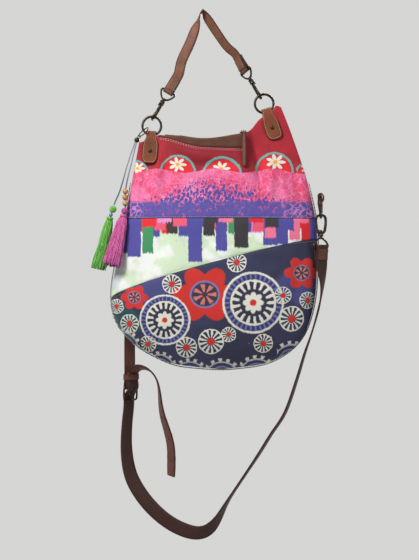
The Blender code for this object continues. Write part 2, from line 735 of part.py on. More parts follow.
LEFT_BEARING = Vector((-0.0820, 0.0, -0.1790))
RIGHT_BEARING = Vector((0.0978, 0.0, -0.1430))
RING_RADIUS = (RING_OUTER - RING_WIRE) / 2
SIDE_RING_RADIUS = (SIDE_RING_OUTER - RING_WIRE) / 2
LEFT_RING_DIRECTION = Vector((-0.20, 0.0, -0.98)).normalized()
RIGHT_RING_DIRECTION = Vector((0.50, 0.0, -0.866)).normalized()
LEFT_RING_CENTRE = LEFT_BEARING + LEFT_RING_DIRECTION * RING_RADIUS
RIGHT_RING_CENTRE = RIGHT_BEARING + RIGHT_RING_DIRECTION * RING_RADIUS
LEFT_TAB_DIRECTION = Vector((-0.06, 0.0, -1.0)).normalized()
RIGHT_TAB_DIRECTION = Vector((0.30, 0.0, -0.954)).normalized()
LEFT_TAB_PIN = LEFT_RING_CENTRE + LEFT_TAB_DIRECTION * RING_RADIUS
RIGHT_TAB_PIN = RIGHT_RING_CENTRE + RIGHT_TAB_DIRECTION * RING_RADIUS
LEFT_HOOK_UP = Vector((0.51, 0.0, 0.86)).normalized()
RIGHT_HOOK_UP = Vector((-0.495, 0.0, 0.87)).normalized()
SIDE_AXIS_Z = -0.3340
LEFT_SIDE_CENTRE = Vector((-0.1200, 0.0400, SIDE_AXIS_Z))
RIGHT_SIDE_CENTRE = Vector((0.1995, -0.0200, SIDE_AXIS_Z))


def eye_bar(place):
    return place @ Vector((0, 0, EYE_BAR_HEIGHT))


def eye_turn(place, turn):
    """The eye's frame: the hook's frame turned about its shank."""
    return place @ Matrix.Rotation(turn, 4, "Z")


def make_handle(root, left_place, right_place):
    """One strap over the hanging point, folded round the bar of each swivel eye."""
    left_bar = eye_bar(left_place)
    right_bar = eye_bar(right_place)
    left_axis = left_place.to_3x3() @ ACROSS
    right_axis = right_place.to_3x3() @ ACROSS
    t = HANDLE_THICKNESS
    left_end = folded_end(left_bar, -LEFT_HOOK_UP, left_axis, HANDLE_WIDTH, t, EYE_WIRE / 2)
    right_end = folded_end(right_bar, -RIGHT_HOOK_UP, right_axis, HANDLE_WIDTH, t, EYE_WIRE / 2)
    left_leg = left_end[0]
    right_leg = right_end[0]
    rise = t / 2
    middle = [
        (-0.0345, 0.0005, -0.0840), (-0.0205, 0.0, -0.0540), (-0.0095, 0.0, -0.0240), (-0.0040, 0.0, -0.0060),
        (0.0, 0.0, rise), (0.0050, 0.0, -0.0055), (0.0160, 0.0, -0.0220), (0.0300, 0.0, -0.0430),
        (0.0440, 0.0, -0.0620)]
    points = [tuple(left_leg[0])] + middle + [tuple(right_leg[0])]
    rows = smooth_path(points, HANDLE_STEP)
    centres = [Vector(row) for row in rows]
    start = left_leg[1]
    end = right_leg[1]
    stations = []
    last = len(centres) - 1
    previous = start
    for i, (centre, along) in enumerate(zip(centres, tangents(centres))):
        t_here = i / last
        apex = math.exp(-((t_here - 0.52) / 0.085) ** 2)
        blend = start.lerp(end if start.dot(end) > 0 else -end, smooth_step(t_here))
        wanted = blend.lerp(DEEP if previous.y >= 0 else -DEEP, 0.9 * apex)
        across = (wanted - along * wanted.dot(along)).normalized()
        if across.dot(previous) < 0:
            across = -across
        previous = across
        stations.append((centre, across, HANDLE_WIDTH))
    whole = list(reversed(left_end[1:])) + stations[0:] + right_end[1:]
    aligned = [whole[0]]
    for centre, across, width in whole[1:]:
        aligned.append((centre, across if across.dot(aligned[-1][1]) > 0 else -across, width))
    add_piece("handle_strap", ribbon(bmesh.new(), aligned, t), leather("handle_leather"), root)
    make_swivel_eye("left_handle", left_place, root)
    make_swivel_eye("right_handle", right_place, root)


def make_ring_tab(name, pin, direction, width, pivot):
    """A leather strip folded over the ring's wire, with one leaf on each side of the bag."""
    across_top = Vector((-direction.z, 0, direction.x))
    half_height = 0.0080
    half_width = 0.0041 + TAB_THICKNESS / 2
    lift = 0.0016
    stations = []
    for side in (FRONT, BACK):
        drops = [0.009 + (TAB_LENGTH - 0.009) * k / 8 for k in range(9)]
        leaf = []
        for drop in drops:
            centre = pin + direction * drop
            near = [centre + across_top * shift * width for shift in (-0.55, -0.3, 0.0, 0.3, 0.55)]
            depth = max(bag_depth(spot.x, min(spot.z, -0.1640), side) for spot in near)
            depth = max(depth, EAR_DEPTH if drop < 0.020 else 0.0)
            out = max(depth + CLOTH_THICKNESS / 2 + TAB_SEAT + TAB_THICKNESS / 2, half_width)
            round_end = 1 - 0.42 * smooth_step((drop - TAB_LENGTH + 0.007) / 0.007)
            wide = TAB_NECK + (width - TAB_NECK) * smooth_step((drop - 0.006) / 0.012)
            leaf.append((centre + DEEP * side * out, across_top, wide * round_end))
        stations.append(leaf)
    arch = []
    for k in range(9):
        turn = math.pi * k / 8
        place = pin - direction * (half_height * math.sin(turn) ** 0.8 - lift) - DEEP * half_width * math.cos(turn)
        arch.append((place, across_top, TAB_NECK))
    whole = list(reversed(stations[0])) + arch + stations[1]
    add_piece(name, ribbon(bmesh.new(), whole, TAB_THICKNESS), tab_leather(name + "_leather"), pivot)


def make_rivet(name, tab_pin, direction, drop, width, pivot):
    """A small domed rivet on the front leaf."""
    centre = tab_pin + direction * drop
    depth = max(bag_depth(centre.x + shift * width, centre.z, FRONT) for shift in (-0.55, -0.3, 0.0, 0.3, 0.55))
    out = depth + CLOTH_THICKNESS / 2 + TAB_SEAT + TAB_THICKNESS + TOUCH_GAP + 0.0006
    profile = [(0.0, 0.0028), (0.0005, 0.0028), (0.0011, 0.0018), (0.0013, 0.0008)]
    bm = turned(bmesh.new(), profile, centre - DEEP * out, -DEEP, 12)
    add_piece(name, bm, old_metal(name + "_metal"), pivot)


SIDE_AXIS = (RIGHT_SIDE_CENTRE - LEFT_SIDE_CENTRE).normalized()
SIDE_WIRE = UP.cross(SIDE_AXIS).normalized()


def make_side_tab(name, ring_centre, out_sign, pivot):
    """A short folded strip sewn to the bag's side, which holds the side ring by its top wire."""
    pin = ring_centre + UP * SIDE_RING_RADIUS
    outward = SIDE_AXIS * out_sign
    half = RING_WIRE / 2 + SIDE_TAB_SLACK + TAB_THICKNESS / 2
    layer = TAB_THICKNESS / 2 + TOUCH_GAP / 2
    lean = outward * SIDE_TAB_LEAN
    stations = []
    for sign in (1, -1):
        leaf = []
        for k in range(7):
            drop = SIDE_TAB_LENGTH * k / 6
            out = half + (layer - half) * smooth_step((drop - 0.004) / 0.012)
            inward = outward * -(half + 0.0004) * smooth_step((drop - 0.004) / 0.010)
            leaf.append((pin - UP * drop + lean * drop / SIDE_TAB_LENGTH + inward + outward * sign * out,
                         SIDE_WIRE, SIDE_TAB_WIDTH))
        stations.append(leaf)
    arch = []
    for k in range(1, 8):
        turn = math.pi * k / 8
        arch.append((pin + outward * half * math.cos(turn) + UP * half * math.sin(turn), SIDE_WIRE, SIDE_TAB_WIDTH))
    whole = list(reversed(stations[0])) + arch + stations[1]
    add_piece(name, ribbon(bmesh.new(), whole, TAB_THICKNESS), tab_leather(name + "_leather"), pivot)


# The long strap, with its buckle

DOWN = -UP
BUCKLE_TURN = math.radians(-49)
BUCKLE_HEEL = Vector((-0.1240, 0.0260, -0.6400))
BUCKLE_HEIGHT = 0.024
BUCKLE_WIRE = 0.0034
PRONG_WIRE = 0.0024
BUCKLE_ACROSS = turned_width(DOWN, BUCKLE_TURN)
BUCKLE_FACE = BUCKLE_ACROSS.cross(UP)
if BUCKLE_FACE.y > 0:
    BUCKLE_FACE = -BUCKLE_FACE
FOLD_RADIUS = BUCKLE_WIRE / 2 + PIVOT_GAP + STRAP_THICKNESS
LONG_OVER_FOLD = FOLD_RADIUS + TOUCH_GAP + STRAP_THICKNESS / 2
LONG_OVER_SHORT = STRAP_THICKNESS * 1.5 + TOUCH_GAP * 2.5
LONG_UNDER_BAR = BUCKLE_WIRE / 2 + PIVOT_GAP + STRAP_THICKNESS / 2


def buckle_point(out, height):
    """A point in the buckle's own plane: out to the front, height above the heel bar."""
    return BUCKLE_HEEL + BUCKLE_FACE * out + UP * height


def aligned(stations):
    """Keeps the width direction of a strip from flipping over."""
    result = [stations[0]]
    for centre, across, width in stations[1:]:
        result.append((centre, across if across.dot(result[-1][1]) > 0 else -across, width))
    return result


def make_short_strap(left_eye_place, pivot):
    """The short strap hangs behind the bag, folded round the eye above and the buckle's bar below."""
    bar = eye_bar(left_eye_place)
    t = STRAP_THICKNESS
    top_end = folded_end(bar, UP, BUCKLE_ACROSS, STRAP_WIDTH, t, EYE_WIRE / 2, run=0.030, tail=0.024)
    low_end = folded_end(BUCKLE_HEEL, DOWN, BUCKLE_ACROSS, STRAP_WIDTH, t, BUCKLE_WIRE / 2, run=0.036, tail=0.0225)
    start = top_end[0][0]
    end = low_end[0][0]
    middle = [tuple(start)] + [(start.x - 0.003, 0.0455, -0.475), (-0.1265, 0.0440, -0.540)] + [tuple(end)]
    rows = smooth_path(middle, 0.012)
    centres = [Vector(row) for row in rows]
    stations = [(centre, BUCKLE_ACROSS, STRAP_WIDTH) for centre in centres]
    whole = aligned(list(reversed(top_end[1:])) + stations + low_end[1:])
    short = add_piece("strap_short", ribbon(bmesh.new(), whole, t), leather("short_strap_leather"), pivot)
    slot_size = (PRONG_WIRE + 2 * PIVOT_GAP + 0.0012, 4 * FOLD_RADIUS, 3.2 * FOLD_RADIUS)
    basis = Matrix((BUCKLE_ACROSS, BUCKLE_FACE, UP)).transposed()
    slot = add_piece("strap_short_slot", box(bmesh.new(), BUCKLE_HEEL - UP * 0.2 * FOLD_RADIUS, slot_size, basis),
                     leather("slot"), pivot)
    cut_solids(short, [slot])


def make_long_strap(right_eye_place, pivot):
    """The long strap runs from the right eye round below, up through the buckle, and over into its free end."""
    bar = eye_bar(right_eye_place)
    eye_across = right_eye_place.to_3x3() @ ACROSS
    end = folded_end(bar, UP, eye_across, STRAP_WIDTH, STRAP_THICKNESS, EYE_WIRE / 2, run=0.030, tail=0.024)
    leg = end[0][0]
    free = [
        (0.2025, -0.0190, -0.4630, -70), (0.1985, -0.0160, -0.4950, -84), (0.1860, -0.0080, -0.5450, -82),
        (0.1745, -0.0040, -0.5800, -78), (0.1630, -0.0010, -0.6200, -76), (0.1410, 0.0, -0.6830, -74),
        (0.1180, 0.0, -0.7180, -74), (0.0970, 0.0, -0.7520, -74), (0.0690, 0.0, -0.7940, -76),
        (0.0420, 0.0, -0.8350, -72), (0.0260, 0.0, -0.8640, -52), (0.0110, 0.0, -0.8815, -22),
        (-0.0070, 0.0010, -0.8873, -6), (-0.0320, 0.0020, -0.8815, 0), (-0.0580, 0.0030, -0.8680, -2),
        (-0.0830, 0.0050, -0.8475, 4), (-0.1060, 0.0080, -0.8205, 16), (-0.1225, 0.0120, -0.7900, 30),
        (-0.1300, 0.0180, -0.7500, 42), (-0.1300, 0.0240, -0.7100, 48)]
    under = -LONG_UNDER_BAR
    entry = (*buckle_point(under, -BUCKLE_HEIGHT - 0.010), 49)
    stations = strap_stations([(*leg, -34)] + free + [entry], STRAP_WIDTH, STRAP_STEP)
    for out, height in ((under, -BUCKLE_HEIGHT), (under, -0.0180), (-0.0014, -0.0125), (0.0034, -0.0085),
                        (0.0068, -0.0035), (LONG_OVER_FOLD + 0.0004, 0.0010), (LONG_OVER_FOLD - 0.0004, 0.0060),
                        (LONG_OVER_SHORT + 0.0002, 0.0110), (LONG_OVER_SHORT, 0.0165), (LONG_OVER_SHORT, 0.0220)):
        stations.append((buckle_point(out, height), BUCKLE_ACROSS, STRAP_WIDTH))
    exit_point = (*buckle_point(LONG_OVER_SHORT + 0.0008, 0.0250), 49)
    tip = [
        (*buckle_point(0.0100, 0.0300), 49), (-0.1115, 0.0120, -0.6060, 52), (-0.1000, 0.0080, -0.6050, 70),
        (-0.0880, 0.0040, -0.6105, 82), (-0.0770, 0.0020, -0.6250, 84), (-0.0725, 0.0, -0.6450, 80),
        (-0.0705, 0.0, -0.6680, 74), (-0.0665, 0.0010, -0.6900, 66), (-0.0590, 0.0, -0.7130, 60),
        (-0.0530, 0.0, -0.7380, 57), (-0.0520, 0.0, -0.7650, 56), (-0.0525, 0.0, -0.7900, 56)]
    stations += strap_stations([exit_point] + tip, STRAP_WIDTH, STRAP_STEP)
    last_width = stations[-1]
    stations[-1] = (last_width[0], last_width[1], STRAP_WIDTH * 0.9)
    whole = aligned(list(reversed(end[1:])) + stations)
    long_strap = add_piece("strap_long", ribbon(bmesh.new(), whole, STRAP_THICKNESS), leather("long_strap_leather"), pivot)
    basis = Matrix((BUCKLE_ACROSS, BUCKLE_FACE, UP)).transposed()
    holes = []
    slot = box(bmesh.new(), buckle_point(0.002, -0.0085), (PRONG_WIRE + 2 * PIVOT_GAP, 0.016, 0.0130), basis)
    holes.append(add_piece("strap_long_slot", slot, leather("long_slot"), pivot))
    for k in (1, 2, 3):
        centre, across, _ = stations[-3 * k]
        along = tangents([station[0] for station in stations])[-3 * k]
        face = along.cross(across).normalized()
        punch = turned(bmesh.new(), [(-0.004, 0.0019), (0.004, 0.0019)], centre, face, 10)
        holes.append(add_piece("strap_long_hole" + str(k), punch, leather("hole"), pivot))
    cut_solids(long_strap, holes)


def make_keeper(pivot):
    """A leather loop round both straps, above the buckle."""
    half = STRAP_WIDTH / 2 + PIVOT_GAP + KEEPER_THICKNESS / 2
    back = -(STRAP_THICKNESS + TOUCH_GAP * 0.5 + PIVOT_GAP + KEEPER_THICKNESS / 2)
    front = LONG_OVER_SHORT + STRAP_THICKNESS / 2 + PIVOT_GAP + KEEPER_THICKNESS / 2
    corner = 0.0008
    outline = ((half, back + corner), (half, front - corner), (half - corner, front), (corner - half, front),
               (-half, front - corner), (-half, back + corner), (corner - half, back), (half - corner, back))
    sections = []
    count = len(outline)
    for k, (a, b) in enumerate(outline):
        before = outline[k - 1]
        after = outline[(k + 1) % count]
        along = (BUCKLE_ACROSS * (after[0] - before[0]) + BUCKLE_FACE * (after[1] - before[1])).normalized()
        face = along.cross(UP)
        centre = BUCKLE_HEEL + BUCKLE_ACROSS * a + BUCKLE_FACE * b + UP * KEEPER_LIFT
        t = KEEPER_THICKNESS / 2
        h = KEEPER_HEIGHT / 2
        sections.append([centre + face * t + UP * h, centre - face * t + UP * h, centre - face * t - UP * h,
                         centre + face * t - UP * h])
    add_piece("strap_keeper", loft(bmesh.new(), sections, closed=True), leather("keeper_leather"), pivot)


def make_buckle(frame_pivot, prong_pivot):
    """A rounded wire frame on the short strap's fold, and the prong that lies on its outer bar."""
    half = STRAP_WIDTH / 2 + PIVOT_GAP + BUCKLE_WIRE / 2 + 0.0006
    low = -BUCKLE_HEIGHT
    c = 0.003
    outline = ((c - half, 0), (half - c, 0), (half - c * 0.3, -c * 0.3), (half, -c), (half, low + c),
               (half - c * 0.3, low + c * 0.3), (half - c, low), (c - half, low), (c * 0.3 - half, low + c * 0.3),
               (-half, low + c), (-half, -c), (c * 0.3 - half, -c * 0.3))
    centres = [BUCKLE_HEEL + BUCKLE_ACROSS * a + UP * b for a, b in outline]
    frame = wire(bmesh.new(), centres, BUCKLE_WIRE / 2, 8, closed=True, across=BUCKLE_FACE)
    add_piece("buckle_frame", frame, old_metal("buckle_metal"), frame_pivot)
    loop_radius = BUCKLE_WIRE / 2 + PIVOT_GAP + PRONG_WIRE / 2
    rest = BUCKLE_WIRE / 2 + TOUCH_GAP + PRONG_WIRE / 2
    centres = [BUCKLE_HEEL + BUCKLE_FACE * loop_radius * math.cos(a) + UP * loop_radius * math.sin(a)
               for a in [math.radians(angle) for angle in range(300, -1, -30)]]
    centres += [buckle_point(rest + 0.0004, low * 0.5), buckle_point(rest, low), buckle_point(rest - 0.0002, low - 0.004)]
    radii = [PRONG_WIRE / 2] * (len(centres) - 1) + [PRONG_WIRE / 3]
    prong = wire(bmesh.new(), centres, radii, 8, across=BUCKLE_ACROSS)
    add_piece("buckle_prong", prong, old_metal("prong_metal"), prong_pivot)


# The charm that hangs from the left ring

CHARM_RING_OUTER = 0.0230
CHARM_RING_WIRE = 0.0018
CHARM_RING_NORMAL = Vector((0.62, 0.42, -0.66)).normalized()
CHARM_LINK_ANGLE = math.radians(215)
CHARM_LINK = LEFT_RING_CENTRE + (ACROSS * math.cos(CHARM_LINK_ANGLE) + UP * math.sin(CHARM_LINK_ANGLE)) * RING_RADIUS
CHARM_RING_RADIUS = (CHARM_RING_OUTER - CHARM_RING_WIRE) / 2


def in_ring_plane(direction):
    return (direction - CHARM_RING_NORMAL * direction.dot(CHARM_RING_NORMAL)).normalized()


CHARM_RING_CENTRE = CHARM_LINK + in_ring_plane(Vector((-0.20, 0, -0.97))) * 0.0020
CHARM_RING_LOW = CHARM_RING_CENTRE + in_ring_plane(Vector((-0.45, 0, -0.89))) * CHARM_RING_RADIUS
BALL_HANG = Vector((-0.50, -0.20, -0.84)).normalized()
EYELET_RADIUS = 0.0025
EYELET_WIRE = 0.0012
EYELET_SLACK = 0.0005
BALL_PLACE = CHARM_RING_LOW + BALL_HANG * (EYELET_SLACK + EYELET_RADIUS + BALL_DIAMETER / 2 - 0.0002)
BEADS = ((-0.1290, -0.0130, -0.3070), (-0.1294, -0.0145, -0.3172), (-0.1292, -0.0160, -0.3273))
PINK_CORD = ((-0.1111, -0.0050, -0.2239), (-0.1125, -0.0060, -0.2300), (-0.1149, -0.0075, -0.2400), (-0.1205, -0.0095, -0.2640),
             (-0.1260, -0.0112, -0.2880)) + BEADS + ((-0.1290, -0.0170, -0.3345),)
GREEN_CORD = ((-0.1136, -0.0052, -0.2227), (-0.1150, -0.0075, -0.2285), (-0.1190, -0.0095, -0.2400), (-0.1262, -0.0130, -0.2640),
              (-0.1325, -0.0150, -0.2880), (-0.1385, -0.0160, -0.3080), (-0.1450, -0.0165, -0.3230),
              (-0.1478, -0.0165, -0.3300))
PINK_HEAD = Vector((-0.1300, -0.0180, -0.3408))
GREEN_HEAD = Vector((-0.1496, -0.0165, -0.3375))


def make_cord(name, points, colour, pivot):
    """A limp cord as one round tube along a smooth curve."""
    curve = bpy.data.curves.new(name, "CURVE")
    curve.dimensions = "3D"
    curve.bevel_depth = CORD_DIAMETER / 2
    curve.bevel_resolution = 2
    curve.resolution_u = 1
    curve.render_resolution_u = 0
    curve.use_fill_caps = True
    rows = smooth_path(points, CORD_DIAMETER * 2.2)
    spline = curve.splines.new("POLY")
    spline.points.add(len(rows) - 1)
    for point, row in zip(spline.points, rows):
        point.co = (*row, 1.0)
    curve.materials.append(finish(name + "_yarn", colour, 0.9))
    cord = bpy.data.objects.new(name, curve)
    bpy.context.scene.collection.objects.link(cord)
    cord.parent = pivot
    cord.matrix_parent_inverse = pivot.matrix_world.inverted()


def bead(bm, centre, axis, diameter, bore, sides=12, steps=5):
    """A round bead with a hole for the cord."""
    axis = axis.normalized()
    side = axis.orthogonal().normalized()
    other = axis.cross(side)
    r = diameter / 2
    first = math.asin(bore / diameter)
    angles = [first + (math.pi - 2 * first) * i / steps for i in range(steps + 1)]
    profile = [(-r * math.cos(a), r * math.sin(a)) for a in angles]
    sections = []
    for k in range(sides):
        turn = math.tau * k / sides
        out = side * math.cos(turn) + other * math.sin(turn)
        sections.append([centre + axis * height + out * radius for height, radius in profile])
    return loft(bm, sections, closed=True)


def make_tassel(name, top, bottom, top_width, bottom_width, colour, pivot):
    """A fluted skirt of yarn that spreads towards its cut end."""
    along = (bottom - top).normalized()
    across = (ACROSS - along * along.x).normalized()
    deep = along.cross(across)
    sections = []
    rows = 8
    for i in range(rows + 1):
        t = i / rows
        width = top_width + (bottom_width - top_width) * t ** 0.8
        if i == 0:
            width *= 0.6
        centre = top.lerp(bottom, t)
        section = []
        for k in range(24):
            turn = math.tau * k / 24
            flute = 1 + 0.07 * t * (1 if k % 2 else -1)
            section.append(centre + across * math.cos(turn) * width / 2 * flute
                           + deep * math.sin(turn) * width * 0.30 * flute)
        sections.append(section)
    add_piece(name, loft(bmesh.new(), sections), finish(name + "_yarn", colour, 0.9), pivot)


def make_charm(pivot):
    add_piece("charm_ring", torus(bmesh.new(), CHARM_RING_CENTRE, CHARM_RING_NORMAL, CHARM_RING_OUTER, CHARM_RING_WIRE,
                                  24, 6), old_metal("charm_ring_metal"), pivot)
    ball = add_piece("charm_ball", turned(bmesh.new(), ball_profile(BALL_DIAMETER), BALL_PLACE, BALL_HANG, 14),
                     finish("ball_metal", (0.45, 0.40, 0.33), 0.3, 0.9), pivot)
    eyelet_centre = CHARM_RING_LOW + BALL_HANG * EYELET_SLACK
    ring_along = CHARM_RING_NORMAL.cross(CHARM_RING_LOW - CHARM_RING_CENTRE).normalized()
    normal = (ring_along - BALL_HANG * ring_along.dot(BALL_HANG)).normalized()
    eyelet = add_piece("charm_ball_eyelet", torus(
        bmesh.new(), eyelet_centre, normal, 2 * EYELET_RADIUS + EYELET_WIRE, EYELET_WIRE, 14, 6), old_metal("eyelet"), pivot)
    join_solids(ball, [eyelet])
    make_cord("charm_cord_pink", PINK_CORD, (0.40, 0.30, 0.22), pivot)
    make_cord("charm_cord_green", GREEN_CORD, (0.03, 0.10, 0.12), pivot)
    for k, place in enumerate(BEADS):
        centre = Vector(place)
        along = Vector(PINK_CORD[k + 6]) - Vector(PINK_CORD[k + 4])
        add_piece("wood_bead_" + str(k + 1), bead(bmesh.new(), centre, along, BEAD_DIAMETER, CORD_DIAMETER + 0.0012),
                  finish("bead_wood_" + str(k + 1), (0.30, 0.16, 0.07), 0.5), pivot)
    pink_top = PINK_HEAD + Vector((-0.0015, -0.001, -0.0065))
    green_top = GREEN_HEAD + Vector((-0.0045, -0.001, -0.0128))
    down_pink = (pink_top - PINK_HEAD).normalized()
    head = turned(bmesh.new(), ball_profile(0.0115), PINK_HEAD, down_pink, 14)
    add_piece("pink_head", head, finish("pink_head_yarn", (0.62, 0.10, 0.30), 0.9), pivot)
    head = turned(bmesh.new(), ball_profile(0.0125), GREEN_HEAD, green_top - GREEN_HEAD, 14)
    add_piece("green_head", head, finish("green_head_yarn", (0.16, 0.45, 0.10), 0.9), pivot)
    blue = GREEN_HEAD + (green_top - GREEN_HEAD).normalized() * 0.0099
    add_piece("blue_bead", turned(bmesh.new(), ball_profile(0.0066), blue, green_top - GREEN_HEAD, 12),
              finish("blue_bead_glass", (0.03, 0.07, 0.30), 0.3), pivot)
    make_tassel("pink_tassel", pink_top, Vector((-0.1500, -0.0365, -0.4325)), 0.013, 0.031, (0.62, 0.12, 0.32), pivot)
    make_tassel("green_tassel", green_top, Vector((-0.1745, -0.0130, -0.4380)), 0.011, 0.025, (0.20, 0.52, 0.12), pivot)


def build():
    clear_scene()
    root = add_pivot("handle_frame", Vector((0, 0, 0)))
    rings = add_pivot("ring_pivot", LEFT_BEARING, root)
    bag = add_pivot("bag_pivot", LEFT_TAB_PIN, rings)
    make_front_panels(bag)
    make_back_panel(bag)
    make_seam_piping(bag)
    make_zip_tape("zip_tape_front", FRONT, bag)
    make_zip_tape("zip_tape_back", BACK, bag)
    make_zip_teeth("zip_teeth_front", FRONT, bag)
    make_zip_teeth("zip_teeth_back", BACK, bag)
    slide = add_pivot("slider_pivot", SLIDER_PLACE, bag)
    make_zip_slider(slide)
    pull = add_pivot("pull_pivot", LINK_PLACE, slide)
    make_zip_pull(pull)

    left_place = hook_place(LEFT_BEARING, LEFT_HOOK_UP, -DEEP)
    right_place = hook_place(RIGHT_BEARING, RIGHT_HOOK_UP, -DEEP)
    strap = add_pivot("strap_pivot", (LEFT_SIDE_CENTRE + RIGHT_SIDE_CENTRE) / 2, bag)
    left_low = LEFT_SIDE_CENTRE - UP * SIDE_RING_RADIUS
    right_low = RIGHT_SIDE_CENTRE - UP * SIDE_RING_RADIUS
    left_strap_place = hook_place(left_low, DOWN, SIDE_AXIS)
    right_strap_place = hook_place(right_low, DOWN, -SIDE_AXIS)
    for prefix, place, carrier in (
            ("left_handle", left_place, root), ("right_handle", right_place, root),
            ("left_strap", left_strap_place, strap), ("right_strap", right_strap_place, strap)):
        hook_pivot = add_pivot(prefix + "_swivel", place.translation, carrier)
        gate_pivot = add_pivot(prefix + "_gate_pivot", place @ GATE_PIVOT, hook_pivot)
        make_snap_hook(prefix, place, hook_pivot, gate_pivot)
    make_handle(root, eye_turn(left_place, math.radians(90)), eye_turn(right_place, math.radians(40)))

    add_piece("left_ring", torus(bmesh.new(), LEFT_RING_CENTRE, DEEP, RING_OUTER, RING_WIRE),
              old_metal("left_ring_metal"), rings)
    right_rings = add_pivot("right_ring_pivot", RIGHT_BEARING, root)
    add_piece("right_ring", torus(bmesh.new(), RIGHT_RING_CENTRE, DEEP, RING_OUTER, RING_WIRE),
              old_metal("right_ring_metal"), right_rings)
    make_ring_tab("left_tab", LEFT_TAB_PIN, LEFT_TAB_DIRECTION, LEFT_TAB_WIDTH, bag)
    make_ring_tab("right_tab", RIGHT_TAB_PIN, RIGHT_TAB_DIRECTION, RIGHT_TAB_WIDTH, bag)
    make_rivet("left_tab_rivet", LEFT_TAB_PIN, LEFT_TAB_DIRECTION, RIVET_DROP, LEFT_TAB_WIDTH, bag)
    make_rivet("right_tab_rivet", RIGHT_TAB_PIN, RIGHT_TAB_DIRECTION, RIVET_DROP, RIGHT_TAB_WIDTH, bag)

    for prefix, centre, sign in (("left", LEFT_SIDE_CENTRE, -1), ("right", RIGHT_SIDE_CENTRE, 1)):
        side_pivot = add_pivot(prefix + "_side_pivot", centre + UP * SIDE_RING_RADIUS, bag)
        add_piece(prefix + "_side_ring", torus(bmesh.new(), centre, SIDE_AXIS, SIDE_RING_OUTER, RING_WIRE),
                  old_metal(prefix + "_side_ring_metal"), side_pivot)
        make_side_tab(prefix + "_side_tab", centre, sign, bag)
    left_eye = left_strap_place @ Matrix.Rotation(eye_angle(left_strap_place, BUCKLE_ACROSS), 4, "Z")
    right_eye = right_strap_place @ Matrix.Rotation(
        eye_angle(right_strap_place, turned_width(DOWN, math.radians(-34))), 4, "Z")
    make_swivel_eye("left_strap", left_eye, strap)
    make_swivel_eye("right_strap", right_eye, strap)
    make_short_strap(left_eye, strap)
    make_long_strap(right_eye, strap)
    make_keeper(strap)
    frame_pivot = add_pivot("buckle_pivot", BUCKLE_HEEL, strap)
    prong_pivot = add_pivot("prong_pivot", BUCKLE_HEEL, frame_pivot)
    make_buckle(frame_pivot, prong_pivot)
    charm = add_pivot("charm_pivot", CHARM_LINK, bag)
    make_charm(charm)


def eye_angle(place, across):
    """How far to turn an eye about its shank, so that its bar lies along a strap's width."""
    local = place.to_3x3().inverted() @ across
    return math.atan2(local.y, local.x)


build()
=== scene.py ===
"""A printed patchwork hobo bag with its clip-on handle, long strap and bead charm, dressed over the frame."""
import math
import random

import bmesh
import bpy
from mathutils import Matrix, Vector
from mathutils.bvhtree import BVHTree
from mathutils.geometry import convex_hull_2d


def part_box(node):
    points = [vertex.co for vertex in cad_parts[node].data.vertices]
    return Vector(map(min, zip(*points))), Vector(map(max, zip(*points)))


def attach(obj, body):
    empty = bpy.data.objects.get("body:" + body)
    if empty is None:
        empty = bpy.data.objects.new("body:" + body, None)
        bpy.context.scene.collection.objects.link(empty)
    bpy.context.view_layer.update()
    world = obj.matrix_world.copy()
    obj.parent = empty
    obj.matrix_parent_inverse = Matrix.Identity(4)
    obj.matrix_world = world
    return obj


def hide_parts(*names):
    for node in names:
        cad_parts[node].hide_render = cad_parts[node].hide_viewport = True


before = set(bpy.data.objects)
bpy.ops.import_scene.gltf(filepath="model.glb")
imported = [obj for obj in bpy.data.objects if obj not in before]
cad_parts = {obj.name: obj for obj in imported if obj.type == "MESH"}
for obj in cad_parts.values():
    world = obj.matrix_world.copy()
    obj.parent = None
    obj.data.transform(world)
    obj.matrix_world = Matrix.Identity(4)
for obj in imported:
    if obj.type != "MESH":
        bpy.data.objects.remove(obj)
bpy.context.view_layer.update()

scene = bpy.context.scene
scene.view_settings.view_transform = "Standard"
random.seed(7)


# Camera: square to the bag's front and level with its middle, as the photograph was taken.
# It stands where one picture row is 1.7 mm at the bag, so places can be read off in picture columns and rows.

PICTURE_SIZE = (419, 560)
PICTURE_SCALE = 0.0017
HANG_POINT = (202.0, 11.5)
CAMERA_DISTANCE = 1.5
SENSOR = 36.0


def from_picture(column, row):
    """The place across and up at the bag's middle plane for a place in the picture."""
    return ((column - HANG_POINT[0]) * PICTURE_SCALE, (HANG_POINT[1] - row) * PICTURE_SCALE)


camera = bpy.data.objects.new("camera", bpy.data.cameras.new("camera"))
camera_x, camera_z = from_picture(PICTURE_SIZE[0] / 2, PICTURE_SIZE[1] / 2)
camera.location = (camera_x, -CAMERA_DISTANCE, camera_z)
camera.rotation_euler = (math.pi / 2, 0, 0)
camera.data.sensor_width = SENSOR
camera.data.lens = SENSOR * CAMERA_DISTANCE / (PICTURE_SIZE[1] * PICTURE_SCALE)
scene.collection.objects.link(camera)
scene.camera = camera


# Charm cords: two twisted threads, one rose and one olive, tied into the metal ball and into the tassels' heads.
# Each is one curve on the part's own route, so the finish twists along it.

